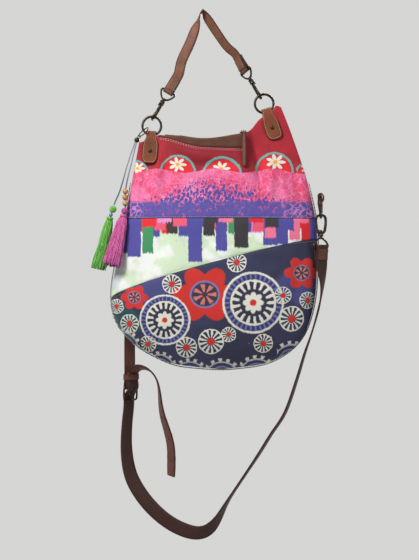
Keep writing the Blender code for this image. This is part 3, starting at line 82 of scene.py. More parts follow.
CORD_DIAMETER = 0.0024
CORD_STEP = 0.004
CORD_TWIST = 2300
# Above this height the cords turn paler, near the ball.
PALER_ABOVE = -0.280
PALE_LENGTH_DARK = (0.20, 0.24, 0.29)
PALE_LENGTH_LIGHT = (0.56, 0.61, 0.65)
ROSE_CORD = (
    (-0.1111, -0.0050, -0.2239), (-0.1125, -0.0060, -0.2300), (-0.1149, -0.0075, -0.2400),
    (-0.1205, -0.0095, -0.2640), (-0.1260, -0.0112, -0.2880), (-0.1290, -0.0130, -0.3070),
    (-0.1294, -0.0145, -0.3172), (-0.1292, -0.0160, -0.3273), (-0.1290, -0.0170, -0.3345),
)
OLIVE_CORD = (
    (-0.1136, -0.0052, -0.2227), (-0.1150, -0.0075, -0.2285), (-0.1190, -0.0095, -0.2400),
    (-0.1262, -0.0130, -0.2640), (-0.1325, -0.0150, -0.2880), (-0.1385, -0.0160, -0.3080),
    (-0.1450, -0.0165, -0.3230), (-0.1478, -0.0165, -0.3300),
)


class Value:
    """A shader socket that takes part in sums."""

    def __init__(self, finish, socket):
        self.finish = finish
        self.socket = socket

    def maths(self, operation, *values):
        return self.finish.maths(operation, *values)

    def __add__(self, other):
        return self.maths("ADD", self, other)

    def __sub__(self, other):
        return self.maths("SUBTRACT", self, other)

    def __rsub__(self, other):
        return self.maths("SUBTRACT", other, self)

    def __mul__(self, other):
        return self.maths("MULTIPLY", self, other)

    def __truediv__(self, other):
        return self.maths("DIVIDE", self, other)

    __radd__ = __add__
    __rmul__ = __mul__

    def size(self):
        return self.maths("ABSOLUTE", self)

    def wave(self):
        return self.maths("SINE", self)

    def root(self):
        return self.maths("SQRT", self)

    def part(self):
        """What is left above the whole number."""
        return self.maths("FRACT", self)

    def whole(self):
        return self.maths("FLOOR", self)

    def over(self, edge, width):
        """Rises from 0 to 1 across a soft edge."""
        low = edge - width / 2
        return self.finish.node("ShaderNodeMapRange", {"interpolation_type": "SMOOTHSTEP"},
                                {0: self, 1: low, 2: low + width})

    def under(self, edge, width):
        return 1 - self.over(edge, width)

    def both(self, other):
        return self.maths("MINIMUM", self, other)

    def either(self, other):
        return self.maths("MAXIMUM", self, other)


class Finish:
    """One material: a Principled shader, with the nodes that vary it over the surface."""

    def __init__(self, name, roughness=0.6, metallic=0.0, specular=0.5, **constants):
        self.material = bpy.data.materials.new(name)
        self.material.use_nodes = True
        self.tree = self.material.node_tree
        self.shader = self.tree.nodes["Principled BSDF"]
        constants = {key.replace("_", " ").title(): value for key, value in constants.items()}
        constants.update({"Roughness": roughness, "Metallic": metallic, "Specular IOR Level": specular})
        for key, value in constants.items():
            self.shader.inputs[key].default_value = value
        self.spot = self.node("ShaderNodeTexCoord", out="Object")

    def node(self, kind, settings=None, sockets=None, out=0):
        """Any node: its settings first, then the values or links of its sockets."""
        node = self.tree.nodes.new(kind)
        for key, value in (settings or {}).items():
            if key == "stops":
                ramp = node.color_ramp
                while len(ramp.elements) < len(value):
                    ramp.elements.new(1.0)
                for element, (place, colour) in zip(ramp.elements, value):
                    element.position = place
                    element.color = (*colour, 1)
            elif key == "steps":
                node.color_ramp.interpolation = value
            else:
                setattr(node, key, value)
        for key, value in (sockets or {}).items():
            if isinstance(value, Value):
                self.tree.links.new(value.socket, node.inputs[key])
            else:
                node.inputs[key].default_value = (*value, 1) if isinstance(value, tuple) and len(value) == 3 and (
                    node.inputs[key].type == "RGBA") else value
        return Value(self, node.outputs[out])

    def maths(self, operation, *values):
        return self.node("ShaderNodeMath", {"operation": operation}, dict(enumerate(values)))

    def split(self, place):
        """A place's three numbers."""
        split = self.tree.nodes.new("ShaderNodeSeparateXYZ")
        self.tree.links.new(place.socket, split.inputs[0])
        return [Value(self, output) for output in split.outputs]

    def axes(self):
        return self.split(self.spot)

    def stretched(self, across, deep, up):
        """The place, scaled by its own amount along each axis."""
        return self.node("ShaderNodeVectorMath", {"operation": "MULTIPLY"}, {0: self.spot, 1: (across, deep, up)})

    def noise(self, scale, detail=3.0, roughness=0.5, place=None, out=0):
        return self.node("ShaderNodeTexNoise", None, {
            "Vector": place or self.spot, "Scale": scale, "Detail": detail, "Roughness": roughness}, out)

    def mix(self, share, low, high):
        """A colour between two."""
        return self.node("ShaderNodeMix", {"data_type": "RGBA"}, {0: share, 6: low, 7: high}, 2)

    def set(self, name, value):
        self.tree.links.new(value.socket, self.shader.inputs[name])

    def bump(self, height, distance, strength=1.0):
        self.set("Normal", self.node("ShaderNodeBump", None, {
            "Height": height, "Distance": distance, "Strength": strength}))

    def dress(self, *pieces):
        for piece in pieces:
            piece.data.materials.clear()
            piece.data.materials.append(self.material)


def twisted_thread(name, dark, light):
    """Two strands laid round each other, paler near the ball: slanting bands with painted shade between them."""
    finish = Finish(name, roughness=0.85, specular=0.2, sheen_weight=0.25)
    x, y, z = finish.axes()
    strand = ((x * 1.4 + y * 1.4 + z) * CORD_TWIST).wave()
    fuzz = finish.noise(2600, 2.0)
    # Painted shade: the colour follows the twist, darker in the groove between the strands and lighter on their
    # crests.
    band = strand.over(0.1, 1.2)
    # The paler colour of the cord's upper length, near the ball.
    worn = finish.mix(band * 0.8 + fuzz * 0.2, PALE_LENGTH_DARK, PALE_LENGTH_LIGHT)
    dyed = finish.mix(band * 0.75 + fuzz * 0.35, dark, light)
    finish.set("Base Color", finish.mix(z.over(PALER_ABOVE, 0.05), dyed, worn))
    finish.bump(strand + fuzz * 0.6, 0.0004)
    return finish


def smooth_line(points, spacing):
    """Points on a smooth curve through the given ones, a given distance apart."""
    rows = [Vector(point) for point in points]
    result = [rows[0]]
    for k in range(len(rows) - 1):
        before = rows[max(k - 1, 0)]
        after = rows[min(k + 2, len(rows) - 1)]
        steps = max(1, round((rows[k + 1] - rows[k]).length / spacing))
        for step in range(1, steps + 1):
            t = step / steps
            result.append(0.5 * (2 * rows[k] + (rows[k + 1] - before) * t
                                 + (2 * before - 5 * rows[k] + 4 * rows[k + 1] - after) * t * t
                                 + (3 * rows[k] - before - 3 * rows[k + 1] + after) * t ** 3))
    return result


def line_length(points):
    return sum((b - a).length for a, b in zip(points, points[1:]))


def charm_cord(name, points, node, finish):
    curve = bpy.data.curves.new(name, "CURVE")
    curve.dimensions = "3D"
    curve.bevel_depth = CORD_DIAMETER / 2
    curve.bevel_resolution = 3
    curve.use_fill_caps = True
    line = smooth_line(points, CORD_STEP)
    spline = curve.splines.new("POLY")
    spline.points.add(len(line) - 1)
    for point, place in zip(spline.points, line):
        point.co = (*place, 1)
    piece = bpy.data.objects.new(name, curve)
    scene.collection.objects.link(piece)
    piece.data.materials.append(finish.material)
    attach(piece, "charm")
    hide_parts(node)
    line_length(line)
    return piece


rose_thread = twisted_thread("rose_twist", (0.05, 0.04, 0.12), (0.30, 0.20, 0.38))
olive_thread = twisted_thread("olive_twist", (0.03, 0.05, 0.10), (0.12, 0.26, 0.26))
charm_cord("rose_cord", ROSE_CORD, "charm_cord_pink", rose_thread)
charm_cord("olive_cord", OLIVE_CORD, "charm_cord_green", olive_thread)


# Light and floor: the main lamp stands above, in front and to the left, and weaker ones to the right and behind.
# The backdrop is the sky's own pale colour, which the camera and the metal see, over a pale painted floor.

LAMPS = (
    # name, place, size in metres and watts
    ("key_lamp", (-0.95, -1.25, 0.85), 0.55, 44),
    ("side_lamp", (1.5, -1.1, -0.2), 1.0, 7),
    ("back_lamp", (0.5, 1.8, 0.5), 0.9, 34),
)
LAMP_AIM = Vector((0.02, 0, -0.4))
SKY_COLOUR = (0.80, 0.82, 0.85)
SKY_STRENGTH = 0.42
BACKDROP_COLOUR = (0.67, 0.67, 0.66)
FLOOR_DROP = -1.25
FLOOR_HALF = 0.78

for name, place, size, watts in LAMPS:
    lamp = bpy.data.lights.new(name, "AREA")
    lamp.size = size
    lamp.energy = watts
    holder = bpy.data.objects.new(name, lamp)
    holder.location = place
    holder.rotation_euler = (LAMP_AIM - Vector(place)).to_track_quat("-Z", "Y").to_euler()
    scene.collection.objects.link(holder)

sky = bpy.data.worlds.new("pale_sky")
scene.world = sky
sky.use_nodes = True
sky_nodes = sky.node_tree
sky_light = sky_nodes.nodes["Background"]
sky_light.inputs["Color"].default_value = (*SKY_COLOUR, 1)
sky_light.inputs["Strength"].default_value = SKY_STRENGTH
sky_backdrop = sky_nodes.nodes.new("ShaderNodeBackground")
sky_backdrop.inputs["Color"].default_value = (*BACKDROP_COLOUR, 1)
sky_path = sky_nodes.nodes.new("ShaderNodeLightPath")
seen = sky_path.outputs["Is Camera Ray"]
for ray in ("Is Glossy Ray", "Is Transmission Ray"):
    either = sky_nodes.nodes.new("ShaderNodeMath")
    either.operation = "MAXIMUM"
    sky_nodes.links.new(seen, either.inputs[0])
    sky_nodes.links.new(sky_path.outputs[ray], either.inputs[1])
    seen = either.outputs[0]
sky_mix = sky_nodes.nodes.new("ShaderNodeMixShader")
sky_nodes.links.new(seen, sky_mix.inputs[0])
sky_nodes.links.new(sky_light.outputs[0], sky_mix.inputs[1])
sky_nodes.links.new(sky_backdrop.outputs[0], sky_mix.inputs[2])
sky_nodes.links.new(sky_mix.outputs[0], sky_nodes.nodes["World Output"].inputs["Surface"])

ground = bmesh.new()
bmesh.ops.create_grid(ground, x_segments=1, y_segments=1, size=FLOOR_HALF)
bmesh.ops.translate(ground, verts=ground.verts, vec=(0, 0, FLOOR_DROP))
floor_mesh = bpy.data.meshes.new("floor")
ground.to_mesh(floor_mesh)
ground.free()
floor = bpy.data.objects.new("floor", floor_mesh)
scene.collection.objects.link(floor)
floor_finish = Finish("floor_paint", roughness=0.8)
floor_finish.set("Base Color", floor_finish.mix(floor_finish.noise(3.0), (0.58, 0.59, 0.60), (0.64, 0.65, 0.66)))
floor_finish.dress(floor)


# Front cloth: three panels of printed cotton canvas, sewn edge to edge and slung between the two tabs.
# Each takes its solid's form with closer faces, then sags at the mouth and sinks into the folds below the tabs.

CLOTH_FOLDS = (
    # column and row of the top, column and row of the foot, half width and depth in millimetres
    (251, 144, 262, 190, 4.6, 8.0),
    (184, 167, 246, 163, 6.0, 2.6),
    (268, 150, 272, 205, 7.0, -2.2),
    (165, 148, 168, 200, 5.0, 3.4),
    (158, 160, 156, 205, 5.0, -1.6),
    (172, 150, 205, 172, 5.5, 2.4),
    (236, 158, 250, 178, 6.0, -1.8),
    (190, 152, 226, 160, 5.0, -1.5),
    (146, 168, 140, 210, 5.0, 1.5),
    (290, 150, 300, 205, 6.0, 1.8),
    (280, 170, 287, 212, 5.0, -1.4),
    (206, 232, 214, 262, 9.0, 1.2),
    (166, 226, 160, 262, 9.0, 1.4),
    (262, 228, 268, 246, 9.0, 1.2),
    (128, 262, 150, 312, 9.0, 1.3),
    (300, 250, 292, 310, 9.0, 1.6),
    (150, 344, 180, 330, 8.0, 1.1),
    (282, 340, 262, 318, 8.0, 1.0),
)
FOLD_STRENGTH = 1.75
SLACK = 0.0012
RIPPLE = 0.00028
BAND_SEAM_ROW = 219.5
SLANT_SEAM = (
    (115.5, 298.6), (154, 279.4), (186, 269), (217.6, 260.3), (249.5, 253), (281.4, 246.7), (313, 243.2),
)
SEAM_DIP = 0.0009
SEAM_PUCKER = 0.0006
MOUTH_LEFT = -0.070
MOUTH_LENGTH = 0.141
MOUTH_LEVEL = -0.2090
MOUTH_SAG = 0.0100
SAG_REACH = 0.030
TAB_LIFT = 0.0068
TAB_LIFT_PLACE = -0.0748
TAB_LIFT_REACH = 0.0120
EDGE_HELD = 0.0045
EDGE_EASE = 0.010
BACK_SHARE = -0.8
WELD = 0.00003
CREASE_ANGLE = 0.9
CREASE = 0.75


def copy_of(node):
    """A workable copy of a solid of the frame, with its corners merged and its triangles paired."""
    mesh = bmesh.new()
    mesh.from_mesh(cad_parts[node].data)
    bmesh.ops.remove_doubles(mesh, verts=mesh.verts, dist=WELD)
    bmesh.ops.join_triangles(mesh, faces=mesh.faces, angle_face_threshold=0.6, angle_shape_threshold=0.9)
    return mesh


def rounded(mesh, levels, creased=False):
    """Runs one subdivision over a mesh; a creased one keeps its sharp edges nearly sharp."""
    if creased:
        crease = mesh.edges.layers.float.get("crease_edge") or mesh.edges.layers.float.new("crease_edge")
        for edge in mesh.edges:
            if len(edge.link_faces) == 2 and edge.calc_face_angle() > CREASE_ANGLE:
                edge[crease] = CREASE
    data = bpy.data.meshes.new("rounded")
    mesh.to_mesh(data)
    mesh.free()
    holder = bpy.data.objects.new("rounded", data)
    scene.collection.objects.link(holder)
    subdivision = holder.modifiers.new("rounding", "SUBSURF")
    subdivision.levels = subdivision.render_levels = levels
    result = bmesh.new()
    result.from_object(holder, bpy.context.evaluated_depsgraph_get())
    bpy.data.objects.remove(holder)
    return result


def place_piece(name, mesh, finish, body, slot, *nodes):
    """Ends a piece: its mesh, its finish, the body that it rides on and the solids that it stands for."""
    data = bpy.data.meshes.new(name)
    mesh.to_mesh(data)
    mesh.free()
    data.shade_smooth()
    piece = bpy.data.objects.new(name, data)
    scene.collection.objects.link(piece)
    finish.dress(piece)
    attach(piece, body)
    if nodes:
        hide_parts(*nodes)
    return piece


def near_line(x, z, a, b):
    """How far a place is from a line, in metres, and how far along the line it lies."""
    run = (b[0] - a[0], b[1] - a[1])
    length = run[0] ** 2 + run[1] ** 2
    t = min(1, max(0, ((x - a[0]) * run[0] + (z - a[1]) * run[1]) / length))
    return math.hypot(x - a[0] - run[0] * t, z - a[1] - run[1] * t), t


def fold_sink(x, z):
    """How far the front cloth sinks at a place: folds first, then a little slack everywhere."""
    sink = 0.0
    for top_column, top_row, foot_column, foot_row, width, depth in CLOTH_FOLDS:
        away, t = near_line(x, z, from_picture(top_column, top_row), from_picture(foot_column, foot_row))
        sink += depth / 1000 * math.exp(-(away * 1000 / width) ** 2) * math.sin(math.pi * (0.12 + 0.80 * t))
    slack = math.sin(x * 61 + 2.0 * math.sin(z * 23)) * math.sin(z * 37 + 1.6 * math.sin(x * 31 + 1))
    ripple = math.sin(x * 170 + 3 * math.sin(z * 60)) * math.sin(z * 120 + 2.5 * math.sin(x * 75 + 2))
    return FOLD_STRENGTH * sink + SLACK * slack + RIPPLE * ripple


def seam_sink(x, z):
    """The cloth dips and puckers where it is sewn."""
    low = from_picture(0, BAND_SEAM_ROW)[1]
    dips = [abs(z - low)]
    for a, b in zip(SLANT_SEAM, SLANT_SEAM[1:]):
        dips.append(near_line(x, z, from_picture(*a), from_picture(*b))[0])
    away = min(dips)
    pucker = 0.35 * math.sin(x * 900 + 2 * math.sin(x * 210)) * math.exp(-(away / 0.007) ** 2)
    return SEAM_DIP * math.exp(-(away / 0.0028) ** 2) + SEAM_PUCKER * pucker


def mouth_sag(x, z):
    """How far the mouth hangs between its two ends, under its own weight, and how the left tab draws it up."""
    t = min(1.0, max(0.0, (x - MOUTH_LEFT) / MOUTH_LENGTH))
    below = max(0.0, MOUTH_LEVEL - z)
    lifted = TAB_LIFT * math.exp(-((x - TAB_LIFT_PLACE) / TAB_LIFT_REACH) ** 2)
    return (MOUTH_SAG * math.sin(math.pi * t) ** 1.4 - lifted) * math.exp(-(below / SAG_REACH) ** 2)


def hang_cloth(mesh, side):
    """Sinks a panel's points into the folds, least near the sewn outer edge."""
    for vertex in mesh.verts:
        x, y, z = vertex.co
        vertex.co.z -= mouth_sag(x, z)
        hold = min(1.0, max(0.0, (abs(y) - EDGE_HELD) / EDGE_EASE))
        sink = fold_sink(x if side < 0 else BACK_SHARE * x, z) * hold
        if side < 0:
            sink += seam_sink(x, z) * hold
        vertex.co.y -= side * sink


def hang_panel(name, node, finish, slot, side=-1):
    """A cloth panel in its folds: side is -1 at the front and 1 at the back."""
    mesh = rounded(copy_of(node), 2, creased=True)
    hang_cloth(mesh, side)
    return place_piece(name, mesh, finish, "bag", slot, node)


def shade(code):
    """A colour as it is seen, from its six-digit code, to the renderer's own numbers."""
    parts = [int(code[k:k + 2], 16) / 255 for k in (0, 2, 4)]
    return tuple(c / 12.92 if c <= 0.04045 else ((c + 0.055) / 1.055) ** 2.4 for c in parts)


RAMP_SPAN = 512
RAMP_SIZE = 64
WEAVE = 5200


class Print(Finish):
    """Printed canvas: motifs are drawn with soft edges in picture columns and rows, on one plain weave."""

    def __init__(self, name, ground):
        super().__init__(name, roughness=0.72, specular=0.28, sheen_weight=0.12, sheen_roughness=0.5)
        across, _, up = self.axes()
        ragged = self.noise(160, 3.0, 0.6)
        self.column = across * (1 / PICTURE_SCALE) + HANG_POINT[0] + (ragged - 0.5) * 2.6
        self.row = HANG_POINT[1] - up * (1 / PICTURE_SCALE) + (self.noise(210, 3.0, 0.6) - 0.5) * 2.2
        self.colour = ground
        self.raised = None

    def paint(self, mask, colour, raised=0.0):
        self.colour = self.mix(mask, self.colour, colour)
        if raised:
            self.raised = mask * raised if self.raised is None else self.raised.either(mask * raised)

    def around(self, motifs, squeeze=1.0):
        """Distance from the nearest motif's middle and the turn about it, both in the motif's own size.

        The motifs stand side by side, (left edge, column, row, size) each, and one ramp holds them all."""
        stops = [(left / RAMP_SPAN, (column / RAMP_SPAN, row / RAMP_SPAN, size / RAMP_SIZE))
                 for left, column, row, size in motifs]
        zones = self.node("ShaderNodeValToRGB", {"steps": "CONSTANT", "stops": stops}, {0: self.column / RAMP_SPAN})
        middle_column, middle_row, size = self.split(zones)
        across = (self.column - middle_column * RAMP_SPAN) / (size * RAMP_SIZE)
        down = (self.row - middle_row * RAMP_SPAN) / (size * RAMP_SIZE) * squeeze
        return (across * across + down * down).root(), self.maths("ARCTAN2", down, across)

    def flower(self, away, turn, size, petals, colour, pointed):
        lobe = self.maths("COSINE", turn * (petals / 2)).size()
        self.paint((lobe * (size * pointed) + size * (1 - pointed) - away).over(0, 0.06), colour, 0.6)

    def circle(self, away, radius, width, colour):
        self.paint((away - radius).size().under(width / 2, 0.04), colour, 0.7)

    def disc(self, away, radius, colour):
        self.paint(away.under(radius, 0.05), colour, 0.2)

    def spokes(self, away, turn, inner, outer, count, colour, share=0.45):
        """Short stitches that stand round a middle like the spokes of a wheel."""
        beat = self.maths("COSINE", turn * count).over(1 - 2 * share, 0.6)
        band = away.over(inner, 0.05).both(away.under(outer, 0.05))
        self.paint(beat.both(band), colour, 0.7)

    def weave(self):
        """The canvas under the print: crossing threads, and a faint fade of the colour."""
        across, _, up = self.axes()
        cross = (across * WEAVE).wave() * (up * WEAVE).wave()
        cloud = self.noise(22, 3.0)
        worn = self.noise(420, 2.0)
        tone = self.mix(cloud * 0.6 + worn * 0.4, (0.80, 0.80, 0.80), (1.0, 1.0, 1.0))
        fade = self.node("ShaderNodeMix", {"data_type": "RGBA", "blend_type": "MULTIPLY"},
                         {0: 1.0, 6: self.colour, 7: tone}, 2)
        self.set("Base Color", fade)
        height = cross * 0.25 + worn * 0.5
        if self.raised is not None:
            height = height + self.raised * 1.4
        self.bump(height, 0.0004, 0.6)
        self.set("Roughness", cloud * 0.12 + 0.64)


CREAM = shade("DDDBCB")
CRIMSON = shade("AA1E2C")
SCARLET = shade("D8202A")
ROSE = shade("DE4A74")
PALE_ROSE = shade("EE92B8")
VIOLET = shade("4B4794")
NAVY = shade("2A2B43")
FADED_NAVY = shade("383A5E")
TURQUOISE = shade("6FA39E")
GOLD = shade("E7A62E")
BRICK = shade("C92B24")

# Upper panel: crimson canvas, printed with turquoise arches over cream star flowers.
# Below them run a marbled rose band and a hedge of violet leaves that grows up into it.

upper = Print("upper_print", CRIMSON)
upper.paint(upper.noise(38, 3.0, 0.6).over(0.5, 0.2) * 0.45, shade("8E1626"))
# Painted shade: the middle between the tabs, where the cloth sinks in, is painted a darker crimson.
upper.paint((upper.column - 209).size().under(43, 5) * 0.75, shade("861422"))
away, turn = upper.around(((0, 134, 176, 15), (155, 178, 174, 17), (200, 222, 178, 19), (250, 274, 172, 18),
                           (295, 310, 177, 15)))
upper.disc(away, 0.9, SCARLET)
upper.circle(away, 1.0, 0.13, TURQUOISE)
away, turn = upper.around(((0, 138, 169, 8), (155, 178, 166, 9), (200, 221, 170, 9), (250, 275, 163, 10),
                           (295, 308, 169, 8)), 1.2)
upper.flower(away, turn, 1.0, 7, CREAM, pointed=0.72)
upper.disc(away, 0.24, GOLD)
edge_line = upper.row - (upper.column * 0.11).wave() * 2.2
rose_zone = edge_line.over(172, 1.0)
marble = upper.node("ShaderNodeTexVoronoi", {"feature": "DISTANCE_TO_EDGE"}, {
    "Vector": upper.node("ShaderNodeVectorMath", {"operation": "ADD"}, {
        0: upper.spot, 1: upper.node("ShaderNodeVectorMath", {"operation": "SCALE"}, {
            0: upper.noise(40, 2.0, out=1), "Scale": 0.03})}), "Scale": 95.0})
blush = upper.noise(26, 3.0).over(0.52, 0.25)
upper.paint(rose_zone, upper.mix(blush, ROSE, shade("E4709F")))
upper.paint(rose_zone.both(marble.under(0.035, 0.05)) * 0.75, PALE_ROSE)
upper.paint(rose_zone.both(upper.noise(60, 1.0).over(0.66, 0.05)) * 0.5, shade("D93A62"))
hedge_top = 201 - (upper.maths("COSINE", (upper.column - 214) * 0.0235).either(0.0)) * 20
depth_in = upper.row - hedge_top
leaf_place = upper.node("ShaderNodeMapping", None, {"Vector": upper.spot, "Rotation": (0.0, 0.5, 0.0),
                                                    "Scale": (1.0, 1.0, 0.62)})
for scale, reach in ((210.0, 1.0), (300.0, 0.8)):
    leaf = upper.node("ShaderNodeTexVoronoi", {"feature": "F1"}, {"Vector": leaf_place, "Scale": scale})
    size = (depth_in * 0.028 + 0.25).both(0.52)
    upper.paint((size * reach - leaf).over(0, 0.10), VIOLET, 0.2)
thick = upper.row.over(203, 4.0)
upper.paint(thick.both(upper.noise(120, 2.0).under(0.56, 0.06)) * 0.92, VIOLET)
upper.paint(thick * 0.5, shade("54509C"))
upper.paint(thick.both(marble.under(0.020, 0.03)) * 0.4, shade("A3489A"))
sides = (upper.column - 214).size().over(72, 14)
upper.paint(thick.both(sides).both(marble.under(0.05, 0.05)) * 0.8, shade("D68BC8"))
upper.weave()

# Middle panel: pale canvas with soft green stains, printed with flat brush strokes.
# The strokes hang from the seam in three layers, each with its own width, and end in rough bristle marks.

STROKE_COLOURS = (
    "D7202A", "4B4794", "E5566F", "4B4794", "E8718E", "332E33", "D7202A", "4B4794", "3A8A58", "D98AC0",
)
STROKE_LAYERS = (
    # lane width and start, least length and spread of lengths, all in picture columns or rows
    (16.5, 3.0, 8.0, 24.0),
    (12.0, 1.0, 12.0, 32.0),
    (15.0, 7.0, 4.0, 44.0),
)
middle = Print("brushed_print", shade("E9EBE4"))
stain = middle.noise(17, 3.0, 0.55)
middle.paint(stain.over(0.50, 0.10) * 0.85, shade("C6DBB4"))
middle.paint(middle.noise(150, 3.0).over(0.66, 0.06).both(stain.over(0.55, 0.1)) * 0.7, shade("A8C894"))
middle.paint(middle.noise(9, 2.0).over(0.58, 0.05) * 0.7, shade("C2C6D2"))
stroke_stops = [(k / len(STROKE_COLOURS), shade(code)) for k, code in enumerate(STROKE_COLOURS)]
for width, start, least, spread in STROKE_LAYERS:
    bristle = middle.noise(1.0, 3.0, 0.6, middle.stretched(900, 200, 60))
    lane = (middle.column + start + (bristle - 0.5) * 1.2) / width
    chance = middle.node("ShaderNodeTexWhiteNoise", {"noise_dimensions": "1D"}, {"W": lane.whole() + start * 7})
    other = middle.node("ShaderNodeTexWhiteNoise", {"noise_dimensions": "1D"}, {"W": lane.whole() + start * 31})
    stroke_colour = middle.node("ShaderNodeValToRGB", {"steps": "CONSTANT", "stops": stroke_stops}, {0: other})
    length = chance * chance * spread + least
    end = middle.row - BAND_SEAM_ROW - length + (bristle - 0.5) * 7.0
    side = (lane.part() - 0.5).size().under(0.45, 0.06)
    middle.paint(end.under(0, 0.8).both(side), stroke_colour, 0.3)
middle.weave()

# Lower panel: navy canvas, faded in clouds and printed with wheels, blossoms, daisies and scallops.
# The motifs look stitched: every circle and spoke stands a little proud of the weave.

def navy_canvas(name):
    """Navy canvas, faded in clouds."""
    canvas = Print(name, NAVY)
    canvas.paint(canvas.noise(14, 2.0).over(0.50, 0.2) * 0.5, FADED_NAVY)
    return canvas


lower = navy_canvas("wheel_print")
lower.paint(((lower.column - 128).size() * 0.05 + (lower.row - 322).size() * 0.05).under(1.0, 0.3) * 0.8,
            shade("1F4B50"))
for column, row in ((150, 287), (296, 284)):
    lower.paint(((lower.column - column).size() * 0.038 + (lower.row - row).size() * 0.045).under(1.0, 0.5) * 0.65,
                shade("4A4C88"))
away, turn = lower.around(((0, 136, 297, 14), (168, 205, 294, 31), (262, 300, 273, 18)), 1.1)
lower.flower(away, turn, 1.0, 6, BRICK, pointed=0.34)
lower.disc(away, 0.44, shade("3A2A3E"))
lower.spokes(away, turn, 0.10, 0.36, 7, shade("C8756A"))
lower.circle(away, 0.44, 0.06, shade("6C78A8"))
away, turn = lower.around(((0, 166, 319, 24), (206, 252, 302, 29)))
lower.disc(away, 1.0, shade("34345F"))
lower.disc(away, 0.72, NAVY)
lower.circle(away, 1.0, 0.075, CREAM)
lower.spokes(away, turn, 0.80, 0.96, 34, shade("6A6FB4"), share=0.3)
lower.circle(away, 0.74, 0.07, CREAM)
lower.spokes(away, turn, 0.46, 0.74, 17, CREAM, share=0.4)
lower.flower(away, turn, 0.36, 8, CREAM, pointed=0.3)
lower.disc(away, 0.11, BRICK)
for motifs in (((0, 131, 323, 9), (141, 149, 343, 8), (162, 173, 284, 9), (184, 211, 340, 12), (226, 236, 263, 9),
                (248, 262, 342, 9), (275, 290, 318, 12)),
               ((0, 118, 306, 7), (170, 187, 346, 10), (200, 228, 333, 7), (240, 248, 342, 0.5), (272, 281, 295, 8),
                (292, 306, 300, 8))):
    away, turn = lower.around(motifs)
    lower.spokes(away, turn, 0.34, 1.0, 13, CREAM, share=0.42)
    lower.circle(away, 1.0, 0.10, CREAM)
    lower.disc(away, 0.32, BRICK)
away, turn = lower.around(((0, 124, 346, 14), (140, 160, 368, 14), (176, 190, 376, 15), (206, 222, 377, 16),
                           (239, 256, 374, 16), (276, 290, 360, 16)))
lower.circle(away, 1.0, 0.10, shade("B9BDCB"))
lower.circle(away, 0.70, 0.09, shade("7E86B4"))
lower.spokes(away, turn, 1.05, 1.26, 15, CREAM, share=0.4)
lower.weave()

upper_cloth = hang_panel("upper_cloth", "front_top_panel", upper, "printed_cloth")
brushed_cloth = hang_panel("brushed_cloth", "front_middle_panel", middle, "printed_cloth")
wheel_cloth = hang_panel("wheel_cloth", "front_lower_panel", lower, "navy_cloth")


# Back cloth: one panel of the plain navy canvas, sewn to the front all round with the piping between them.
# It hangs from the two tabs with the same slack as the front, and shows no print.

back_canvas = navy_canvas("back_canvas")
back_canvas.weave()
back_cloth = hang_panel("back_cloth", "back_panel", back_canvas, "navy_cloth", 1)


# Leather: the handle, the long strap, its buckled short end, the tabs and the puller, all cut from one brown hide.
# Each strip keeps its solid's route. Its map holds how far along it and how far from its middle a point lies.

CUT_SIDE = 0.0045
THIN_CUT_SIDE = 0.0024
PULLER_CUT_SIDE = 0.0022
FOOT_START = 0.010
FOOT_RUN = 0.012
STITCH_WIDTH = 0.00055
HIDE_DARK, HIDE_LIGHT, HIDE_RIM = shade("54301f"), shade("84553e"), shade("2a160e")
LEFT_TAB_DOWN = (-0.06, 0, -1.0)
RIGHT_TAB_DOWN = (0.30, 0, -0.954)


def corner_runs(mesh, side):
    """Numbers each corner of a plain strip: how far along it lies, and across, from one long edge."""
    mesh.edges.ensure_lookup_table()
    sharp = {edge for edge in mesh.edges if len(edge.link_faces) == 2 and edge.calc_face_angle() > 1.1}
    ends = {v for v in mesh.verts if sum(edge in sharp for edge in v.link_edges) > 2}
    long_edges = {edge for edge in sharp if not all(v in ends for v in edge.verts)}
    start = next(iter(sorted(ends or {v for edge in long_edges for v in edge.verts}, key=lambda v: v.index)))
    places = {start: (0.0, 0.0)}
    row = [start]
    here = start
    while True:
        steps = [edge for edge in here.link_edges if edge in long_edges and edge.other_vert(here) not in places]
        if not steps:
            break
        beyond = steps[0].other_vert(here)
        places[beyond] = (places[here][0] + steps[0].calc_length(), 0.0)
        row.append(beyond)
        here = beyond
    while row:
        beyond_row = []
        for here in row:
            for edge in here.link_edges:
                beyond = edge.other_vert(here)
                if edge not in long_edges and beyond not in places:
                    along, across = places[here]
                    wide = edge.calc_length()
                    places[beyond] = (along, across if wide < side else (wide if across == 0 else 0.0))
                    beyond_row.append(beyond)
        row = beyond_row
    return places


def outline_map(mesh, down):
    """Maps a tab by its outline: how far round it and how far in from its edge each point lies."""
    down = Vector(down).normalized()
    beside = Vector((-down.z, 0, down.x))
    flat = {vertex: Vector((vertex.co.dot(beside), vertex.co.dot(down))) for vertex in mesh.verts}
    points = list(flat.values())
    ring = [points[k] for k in convex_hull_2d(points)]
    first = min(range(len(ring)), key=lambda k: ring[k].y)
    ring = ring[first:] + ring[:first + 1]
    legs, gone = [], 0.0
    for a, b in zip(ring, ring[1:]):
        legs.append((a, b, gone))
        gone += (b - a).length
    places = {}
    for vertex, spot in flat.items():
        places[vertex] = min((away, gone + t * (b - a).length) for a, b, gone in legs
                             for away, t in [near_line(spot.x, spot.y, a, b)])
    for face in mesh.faces:
        for loop in face.loops:
            inward, round_about = places[loop.vert]
            loop[mesh.loops.layers.uv["strip"]].uv = (round_about, 0)
            loop[mesh.loops.layers.uv["half"]].uv = (inward, 0)


